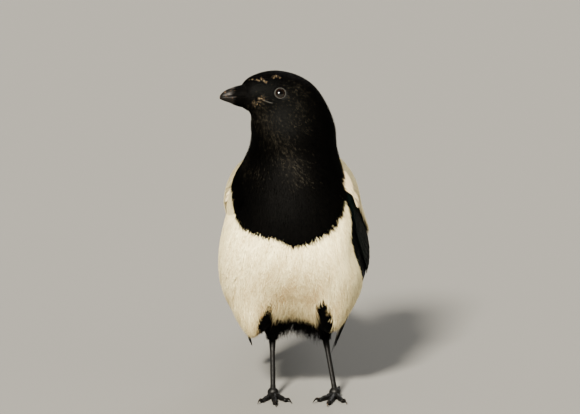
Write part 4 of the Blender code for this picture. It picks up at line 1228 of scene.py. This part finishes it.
def tier(root_first, root_last, tip_first, tip_last, count, half, lifts, slope, bow=0.0, lead=1.0,
         jitter=0.5):
    """The rows of one tier's vanes, evenly spread, each a little off its place."""
    rows = np.zeros((count, 11))
    rows[:, 0:2] = rows_of(root_first, root_last, count)
    rows[:, 2:4] = rows_of(tip_first, tip_last, count)
    rows[:, 4] = half
    rows[:, 5:8] = lifts
    rows[:, 8:11] = slope, bow, lead
    for column, scatter in ((2, 1.6), (3, 0.35), (7, 0.1)):
        rows[:, column] += coat_random.normal(0, jitter * scatter, count)
    return rows


# The arm: distance behind the wrist, low and high edge, and height over the body
ARM = np.array([
    [-9.0, 6.0, 14.0, 1.0],
    [-5.0, -3.0, 27.0, 3.2],
    [3.0, -9.0, 35.0, 5.2],
    [16.0, -13.0, 39.0, 6.4],
    [30.0, -14.5, 38.0, 6.2],
    [45.0, -14.0, 33.0, 5.0],
    [57.0, -11.0, 26.0, 3.6],
    [67.3, -5.4, 16.0, 2.0],
])
ARM_ROWS, ARM_COLUMNS = 40, 25


def arm_mesh(name, sign):
    """The wing's arm: an upper sheet swelling to a rounded crown and a lower one on the body."""
    back = np.linspace(ARM[0, 0], ARM[-1, 0], ARM_ROWS)[:, None]
    low, high, full = np.moveaxis(smooth_rows(ARM[:, 0], ARM[:, 1:], back), -1, 0)
    share = np.linspace(0, 1, ARM_COLUMNS)[None, :]
    across = low + (high - low) * share
    crown = np.sin(math.pi * (0.08 + 0.84 * share)) ** 0.6
    upper = wing_sheet(sign, back + 0 * across, across, 0.3 + full * crown * 0.92)
    lower = wing_sheet(sign, back + 0 * across, across, np.full(across.shape, 0.0))
    points = np.concatenate([upper, lower[:, ::-1]], 1)
    return mesh_piece(name, points, tube_faces(ARM_ROWS, 2 * ARM_COLUMNS), arm_look)


# The wing's tiers from the lowest up: look, how blunt the tips are, and rows of feathers. Each
# row: first and last root, first and last tip (behind the wrist, and round from the widest
# line), number, half width, height over the sheet at root, middle and tip, slope, bow, leading
# side's share, scatter
WING_TIERS = {
    "primaries": (primary_look, 0.2, [
        ((30, -15), (48, -6), (168, -9), (146, 6), 8, 6.2, (2.4, 1.9, 1.6), 0.26, -1.5, 0.62, 0.3),
    ]),
    "secondaries": (secondary_look, 0.3, [
        ((36, -8), (26, 24), (128, -11), (104, 25), 11, 8.2, (3.0, 4.3, 3.6), 0.19, 0, 0.8, 0.5),
    ]),
    "outer_coverts": (primary_look, 0.3, [
        ((14, -11), (20, -8), (74, -17.5), (66, -10), 5, 4.4, (3.2, 5.6, 5.2), 0.26, -1, 0.8, 0.4),
        ((2, -8), (6, -5), (58, -17), (46, -12), 3, 4.4, (2.6, 6.4, 6.6), 0.26, -1, 0.8, 0.4),
    ]),
    "great_coverts": (covert_look, 0.35, [
        ((26, -7), (20, 19), (80, -7), (68, 22), 11, 5.6, (3.4, 6.4, 6.0), 0.22, 0, 1, 0.6),
        ((18, -7), (14, 18), (62, -7), (54, 20), 10, 5.2, (3.4, 7.1, 6.7), 0.22, 0, 1, 0.6),
    ]),
    "small_coverts": (covert_look, 0.4, [
        ((9, -6), (8, 15), (47, -7), (41, 16), 9, 4.8, (3.4, 7.5, 7.3), 0.2, 0, 1, 0.7),
        ((3, -4), (3, 13), (35, -6), (31, 14), 8, 4.6, (3.0, 7.4, 7.8), 0.2, 0, 1, 0.7),
        ((-4, -1), (-3, 12), (24, -5), (20, 12), 7, 4.4, (2.0, 6.6, 7.8), 0.18, 0, 1, 0.7),
        ((-8, 3), (-7, 11), (12, -3), (10, 11), 6, 4.0, (1.0, 4.6, 7.0), 0.16, 0, 1, 0.7),
    ]),
}
SHOULDER_ROWS = [
    ((14, 18), (20, 37), (84, 20), (88, 34), 8, 6.4, (3.0, 7.6, 6.4), 0.12, 1, 1, 0.9),
    ((4, 12), (8, 38), (64, 15), (71, 36), 9, 6.2, (2.6, 8.8, 7.4), 0.12, 1, 1, 0.9),
    ((-4, 7), (-1, 37), (41, 9), (52, 37), 10, 6.0, (1.6, 9.6, 8.3), 0.12, 1, 1, 0.9),
]
FRONT_ROWS = {
    1: [((-9, 4), (-5, 35), (21, 2), (35, 36), 10, 5.6, (0.8, 9.6, 9.4), 0.10, 1, 1, 0.9),
        ((-12, 6), (-9, 30), (6, -1), (18, 33), 9, 5.0, (0.0, 7.6, 9.8), 0.10, 0, 1, 0.9)],
    -1: [((-6, 8), (2, 34), (21, 6), (36, 36), 10, 5.4, (0.8, 9.2, 9.2), 0.10, 1, 1, 0.9),
         ((-9, 7), (-5, 17), (7, 3), (18, 18), 6, 4.6, (0.0, 7.8, 9.6), 0.10, 0, 1, 0.6)],
}
# The left primaries hang lower, and the right small coverts lie flatter towards the front
PRIMARY_LOWER, PRIMARY_LIFT, COVERT_FLATTER = 5.0, 2.4, 2.8
# The down over the shoulder feathers: height over the sheet along it, and the low edge
DOWN_AT, DOWN_OVER = [-8.0, 1.0, 26.0, 58.0, 90.0], [5.8, 10.3, 10.3, 9.2, 7.4]
DOWN_LOW_AT = [-8.0, 8.0, 30.0, 78.0]
DOWN_HIGH = 42.5

for sign, side in ((1, "left"), (-1, "right")):
    wing = "wing_" + side
    arm = arm_mesh(wing + "_arm", sign)
    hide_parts(wing)
    for name, (look, tip, table) in WING_TIERS.items():
        rows = np.concatenate([tier(*row) for row in table])
        if name == "primaries":
            order = np.linspace(0, 5, 8)
            fan = np.sin(math.pi * np.minimum(1.0, (order + 0.6) / 3.4) / 2)
            rows[:, 2] += 20.0 * fan - 5.0 * order
            if sign > 0:
                rows[:, 3] -= PRIMARY_LOWER
                rows[:, 7] += PRIMARY_LIFT
        if name == "small_coverts":
            lower = LEFT_EDGE_LOWER if sign > 0 else 0.0
            edge = tier((0, -11 - lower / 2), (44, -15 - lower), (24, -14 - lower),
                        (70, -17 - lower), 12, 4.2, (1.6, 5.8, 5.6), 0.3, 0, 1, 0.5)
            rows = np.concatenate([rows, edge])
            if sign < 0:
                rows[:, 6:8] -= COVERT_FLATTER * np.clip((60 - rows[:, 2:3]) / 30, 0, 1)
        piece = vane_tier(f"{wing}_{name}", wing_sheet, sign, rows, look, tip)
    rows = np.concatenate([tier(*row) for row in SHOULDER_ROWS + FRONT_ROWS[sign]])
    piece = vane_tier(wing + "_shoulder_feathers", wing_sheet, sign, rows, scapular_shaded_look, 0.4)

    # Soft loose barbs over the shoulder feathers
    number = 9000
    back_at = -8.0 + 86.0 * coat_random.random(number) ** 1.2
    low = np.interp(back_at, DOWN_LOW_AT, [3.0 if sign > 0 else 8.0, 2.0, 5.5, 18.0])
    high = DOWN_HIGH if sign > 0 else np.interp(back_at, [-8.0, 10.0], [17.0, DOWN_HIGH])
    across_at = low + (high - low) * coat_random.random(number)
    reach = coat_random.uniform(7.0, 11.0, number)[:, None] * STATIONS
    across_line = across_at[:, None] + coat_random.normal(0, 0.1, number)[:, None] * reach
    back_line = back_at[:, None] + reach
    lift = np.interp(back_line, DOWN_AT, DOWN_OVER) + np.array([-1.2, 0.2, 0.45])
    lift = lift + coat_random.uniform(-0.35, 0.3, number)[:, None]
    middle = wing_sheet(sign, back_line, across_line, lift)
    upright = unit(wing_sheet(sign, back_line, across_line, lift + 1.0) - middle)
    piece = blades(wing + "_shoulder_down", middle, upright, coat_random.uniform(0.34, 0.5, number),
                   white_tones(number, 0.66, 0.10), wing_place(sign, back_at, across_at), white_coat)

# THE TAIL
# Twelve long stiff feathers, the middle pair longest and on top, with soft coverts over and
# under their roots.

TAIL_START = np.array([0.0, 90.0, 81.0])
TAIL_DROOP = math.radians(10)
TAIL_LENGTH, TAIL_STEP, TAIL_FAN, TAIL_PITCH = 232.0, 21.0, 3.2, 0.95
TAIL_REAR = np.array([0.0, math.cos(TAIL_DROOP), -math.sin(TAIL_DROOP)])
TAIL_ABOVE = np.array([0.0, math.sin(TAIL_DROOP), math.cos(TAIL_DROOP)])


def tail_sheet(sign, back, across, lift):
    """The tail's flat sheet, sloping down behind the tail's root."""
    back, across, lift = (v[..., None] for v in np.broadcast_arrays(back, across, lift))
    out = np.array([1.0, 0.0, 0.0])
    return TAIL_START + back * TAIL_REAR + across * out + lift * TAIL_ABOVE


tail_look = vane_material(
    "tail_green_look",
    [(0.0, (0.001, 0.002, 0.0018)), (0.45, (0.0014, 0.007, 0.0042)),
     (0.72, (0.0025, 0.0085, 0.0053)), (0.86, (0.0063, 0.0035, 0.0126)),
     (0.94, (0.0032, 0.0032, 0.0105)), (1.0, (0.001, 0.0014, 0.0025))],
    (0.0035, 0.0105, 0.007), 0.36, metallic=0.3, specular=0.15)
PAIRS = 6
pairs = np.repeat(np.arange(PAIRS), 2)
hand = np.tile([-1.0, 1.0], PAIRS)
rows = np.zeros((2 * PAIRS, 11))
rows[:, 0] = 12.0
rows[:, 1] = hand * (0.8 + 1.1 * pairs)
rows[:, 2] = TAIL_LENGTH - TAIL_STEP * pairs**1.12
rows[:, 3] = hand * (1.4 + TAIL_FAN * pairs)
rows[:, 4] = 11.0 - 0.5 * pairs
rows[:, 5] = 2.2 - TAIL_PITCH * pairs + 0.42 * (hand > 0)
rows[:, 6] = rows[:, 5] - 0.4
rows[:, 7] = rows[:, 5] - 1.2
rows[:, 10] = 1.0
tail = vane_tier("tail_feathers", tail_sheet, 1, rows, tail_look, 0.25)
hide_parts("tail")

root_look = coat_material(
    "tail_root_down", (0.0007, 0.0008, 0.0007), (0.002, 0.0024, 0.0024), 0.6, 0.05)
ROOT_ROWS, ROOT_SIDES = 30, 32
place = np.linspace(-2.0, 46.0, ROOT_ROWS)[:, None]
turn = circle(ROOT_SIDES)[None, :]
side_size, above, below = np.moveaxis(smooth_rows(
    [-2.0, 14.0, 30.0, 48.0],
    [(15.0, 11.0, 10.0), (14.0, 8.5, 8.0), (12.5, 6.4, 5.6), (8.0, 2.8, 2.6)], place), -1, 0)
rise = np.where(np.cos(turn) > 0, above, below) * np.cos(turn)
points = tail_sheet(1, place + 0 * turn, side_size * np.sin(turn), rise)
piece = mesh_piece("tail_root", points, tube_faces(ROOT_ROWS, ROOT_SIDES), root_look,
                   values={"tone": np.full(ROOT_ROWS * ROOT_SIDES, 0.4)})


def tail_round(sign, back, across, lift):
    """The tail root's outside: across is the angle round it in tenths of a radian."""
    back, across, lift = np.broadcast_arrays(back, across, lift)
    size = smooth_rows([-14.0, 14.0, 30.0, 48.0, 80.0], [
        (18.0, 13.5, 12.5), (14.0, 8.5, 8.0), (12.5, 6.4, 5.6), (9.5, 3.0, 2.8), (9.5, 2.0, 2.6),
    ], back)
    turn = across / 10.0
    above = np.where(np.cos(turn) > 0, size[..., 1], size[..., 2]) + lift
    return tail_sheet(1, back, (size[..., 0] + lift) * np.sin(turn), above * np.cos(turn))


# Rings of soft coverts round the root, each half a feather round from the last
ONCE_ROUND, COVERTS_ROUND, COVERT_STEP = 31.4, 15, 4.2
covert_rows = []
for start, end, half_turn in ((-12, 22, 0.0), (-4, 36, 1.0), (6, 52, 0.0), (14, 66, 1.0)):
    last = ONCE_ROUND - COVERT_STEP
    ring_rows = tier((start, -ONCE_ROUND), (start, last), (end, -ONCE_ROUND), (end, last),
                     COVERTS_ROUND, 4.6, (-0.6, 0.5, 0.4), 0.06, 0, 1, 0.9)
    ring_rows[:, [1, 3]] += COVERT_STEP / 2 * half_turn
    covert_rows.append(ring_rows)
piece = vane_tier("tail_coverts", tail_round, 1, np.concatenate(covert_rows), covert_look, 0.4)

# LEGS AND FEET
# Slim black shanks in ring-like horny plates, long toes with rough pads, and curved claws.

LEGS = {
    1: {"ankle": (22.5, 27.0, 39.0), "foot": (29.0, 6.0), "swing": 8.0, "name": "left"},
    -1: {"ankle": (-13.5, 27.0, 39.0), "foot": (-13.0, 6.0), "swing": -3.0, "name": "right"},
}
TARSUS_RADIUS, PALM_RADIUS, PAD_SINK, SHANK_SINK = 1.75, 3.8, 0.3, 1.4
SHANK_ROWS, SHANK_SIDES, SHANK_PLATES = 90, 26, 11
TOE_ROWS, TOE_SIDES, PLATE_LONG = 46, 18, 2.2
CLAW_ROWS, CLAW_SIDES, CLAW_TIP = 24, 14, 0.15
PALM_ROWS, PALM_SIDES = 24, 30
# Bearing from straight ahead, length, radius and claw length of each toe
TOES = {
    "inner": (24, 20.0, 1.9, 8.0),
    "middle": (0, 28.0, 2.0, 9.0),
    "outer": (-24, 21.0, 1.8, 8.0),
    "hind": (180, 17.0, 2.1, 11.0),
}

scale_look, tree, shader = plain_material("leg_scales_look", (0.010, 0.010, 0.011), 0.5,
                                          {"Specular IOR Level": 0.12})
pebbles = tree.nodes.new("ShaderNodeTexVoronoi")
pebbles.inputs["Scale"].default_value = 1500.0
tree.links.new(object_place(tree), pebbles.inputs["Vector"])
scales = pebbles.outputs["Distance"]
tree.links.new(mixed(tree, scales, (0.0024, 0.0023, 0.0021), (0.0006, 0.0006, 0.0006)),
               shader.inputs["Base Color"])
bumped(tree, shader, scales, 0.5, 0.00015).invert = True


def saw(value):
    """A ridge for each whole number: a quick step up, then a smooth fall."""
    part = value % 1
    return np.where(part < 0.15, part / 0.15, 1 - (part - 0.15) / 0.85)


def shank(leg):
    """Level ovals down a slanting line, each horny plate standing out a little at its top."""
    ankle = np.array(leg["ankle"]) - UP * 0.15
    foot = np.array([*leg["foot"], 2 * PALM_RADIUS - PAD_SINK - SHANK_SINK])
    share = np.linspace(0, 1, SHANK_ROWS)[:, None]
    turn = -circle(SHANK_SIDES)[None, :]
    swell = np.interp(share, [0, 0.1, 0.3, 0.9, 1.0], [2.5, 2.4, TARSUS_RADIUS, TARSUS_RADIUS, 2.1])
    front = np.clip(-np.cos(turn), 0, 1)
    swell = swell * (1 + 0.055 * (saw(share * SHANK_PLATES) - 0.5) * front)
    middle = ankle + (foot - ankle) * share[..., None]
    ring = np.stack([swell * np.sin(turn), 1.3 * swell * np.cos(turn), 0 * swell * turn], -1)
    faces = tube_faces(SHANK_ROWS, SHANK_SIDES)
    return mesh_piece("shank_" + leg["name"], middle + ring, faces, scale_look)


def toe_points(leg, sign, toe):
    """Upright rings along a toe, its joints swollen and its under side pressed flat on the
    floor. A toe's middle line lies a radius above the floor."""
    bearing, length, radius, _ = TOES[toe]
    heading = math.radians(-sign * bearing - leg["swing"])
    ahead = np.array([math.sin(heading), -math.cos(heading), 0.0])
    share = np.linspace(0, 1, TOE_ROWS)[:, None]
    plain = radius * (1.12 - 0.32 * share)
    rise = plain * math.cos(math.pi / 8) + 0.5 * (1 - share) ** 2
    size = plain * (1 + 0.11 * np.cos(share * 6 * math.pi))
    turn = circle(TOE_SIDES)[None, :]
    plates = 1 + 0.05 * (saw(share * length / PLATE_LONG) - 0.5) * np.clip(np.sin(turn), 0, 1)
    across = np.cross(ahead, UP)
    start = np.array([*leg["foot"], 0.0])
    middle = start + (length * share)[..., None] * ahead + rise[..., None] * UP
    points = middle + (size * plates * np.cos(turn))[..., None] * across
    points = points + (size * plates * np.sin(turn))[..., None] * UP
    points[..., 2] = np.maximum(points[..., 2], 0.0)
    return points, middle[-1, 0], size[-1, 0], ahead


def claw_points(root, radius, length, ahead):
    """Upright rings along a claw that leaves the toe level and curves down to a point."""
    share = np.linspace(0, 1, CLAW_ROWS)[:, None]
    start = root + ahead * 0.1 + UP * 0.4
    drop = (start[2] - 0.72) * share**2.2
    arch = 1.3 * np.sin(math.pi * share)
    size = radius * 0.62 * (1 - share) ** 0.8 + CLAW_TIP
    turn = circle(CLAW_SIDES)[None, :]
    across = np.cross(ahead, UP)
    middle = start + (length * share)[..., None] * ahead + (arch - drop)[..., None] * UP
    points = middle + (0.85 * size * np.cos(turn))[..., None] * across
    return points + (size * np.sin(turn))[..., None] * UP


for sign, leg in LEGS.items():
    side = leg["name"]
    piece = shank(leg)
    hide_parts("tarsus_" + side)
    polar = np.linspace(0.05, math.pi - 0.05, PALM_ROWS)[:, None]
    turn = circle(PALM_SIDES)[None, :]
    flat = PALM_RADIUS * np.sin(polar)
    palm = np.stack([
        leg["foot"][0] + flat * np.cos(turn), leg["foot"][1] + flat * np.sin(turn),
        np.maximum(PALM_RADIUS - PAD_SINK - PALM_RADIUS * np.cos(polar) + 0 * turn, 0.0),
    ], -1)
    points, faces = [palm.reshape(-1, 3)], tube_faces(PALM_ROWS, PALM_SIDES)
    start = PALM_ROWS * PALM_SIDES
    for toe in TOES:
        rings, root, radius, ahead = toe_points(leg, sign, toe)
        points.append(rings.reshape(-1, 3))
        faces += tube_faces(TOE_ROWS, TOE_SIDES, start)
        start += TOE_ROWS * TOE_SIDES
        claw = claw_points(root, radius, TOES[toe][3], ahead)
        piece = mesh_piece(f"claw_horn_{side}_{toe}", claw, tube_faces(CLAW_ROWS, CLAW_SIDES),
                           horn_look)
        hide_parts(f"claw_{side}_{toe}")
    piece = mesh_piece("toes_" + side, np.concatenate(points), faces, scale_look)
    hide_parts("foot_" + side)

# FLOOR, LIGHT AND CAMERA
# A wide pale floor, a warm key light from the front left, a broad fill and a soft sky. The
# camera is far off with a long lens, ten degrees above level.

floor_mesh = bpy.data.meshes.new("floor")
wide = 150.0  # metres, so that its edge is lost behind the bird
floor_mesh.from_pydata([(-wide, -wide, 0), (wide, -wide, 0), (wide, wide, 0), (-wide, wide, 0)], [],
                       [(0, 1, 2, 3)])
floor_look, tree, shader = plain_material("floor_look", (0.135, 0.133, 0.124), 0.9,
                                          {"Specular IOR Level": 0.1})
floor_mesh.materials.append(floor_look)
floor = bpy.data.objects.new("floor", floor_mesh)
bpy.context.scene.collection.objects.link(floor)


def far_light(name, azimuth, elevation, spread, strength, colour):
    """A far-off light from an azimuth and elevation in degrees, as wide in the sky as spread."""
    light = bpy.data.lights.new(name, "SUN")
    light.angle = math.radians(spread)
    light.energy = strength
    light.color = colour
    lamp = bpy.data.objects.new(name, light)
    lamp.rotation_euler = (math.radians(90 - elevation), 0, math.radians(azimuth))
    bpy.context.scene.collection.objects.link(lamp)


far_light("key", -14, 30, 8, 24.0, (1.0, 0.93, 0.80))
far_light("fill", 40, 12, 50, 1.8, (1.0, 0.95, 0.86))
far_light("back", 160, 45, 40, 2.0, (1.0, 0.98, 0.95))
bpy.data.objects["fill"].visible_glossy = False
world = bpy.data.worlds.new("soft_sky")
world.use_nodes = True
sky = world.node_tree.nodes["Background"]
sky.inputs["Color"].default_value = (0.90, 0.89, 0.86, 1.0)
# Gleams are dimmer than the soft light itself
path = world.node_tree.nodes.new("ShaderNodeLightPath")
dimming = worked(world.node_tree, "MULTIPLY_ADD", path.outputs["Is Glossy Ray"], -0.56, 0.68)
world.node_tree.links.new(dimming, sky.inputs["Strength"])
bpy.context.scene.world = world

CAMERA_ELEVATION = math.radians(10)
CAMERA_DISTANCE = 8.0
PIXEL = 0.68 * MM
FRAME_WIDTH, SENSOR = 580, 36.0
AIM = np.array([-1.4, 0.0, 131.0 / math.cos(CAMERA_ELEVATION)])
camera_data = bpy.data.cameras.new("camera")
camera_data.sensor_width = SENSOR
camera_data.lens = SENSOR * CAMERA_DISTANCE / (FRAME_WIDTH * PIXEL)
camera_data.clip_end = 500.0
camera = bpy.data.objects.new("camera", camera_data)
camera.location = HOME + AIM * MM + CAMERA_DISTANCE * np.array(
    [0.0, -math.cos(CAMERA_ELEVATION), math.sin(CAMERA_ELEVATION)])
camera.rotation_euler = (math.pi / 2 - CAMERA_ELEVATION, 0.0, 0.0)
bpy.context.scene.collection.objects.link(camera)
bpy.context.scene.camera = camera
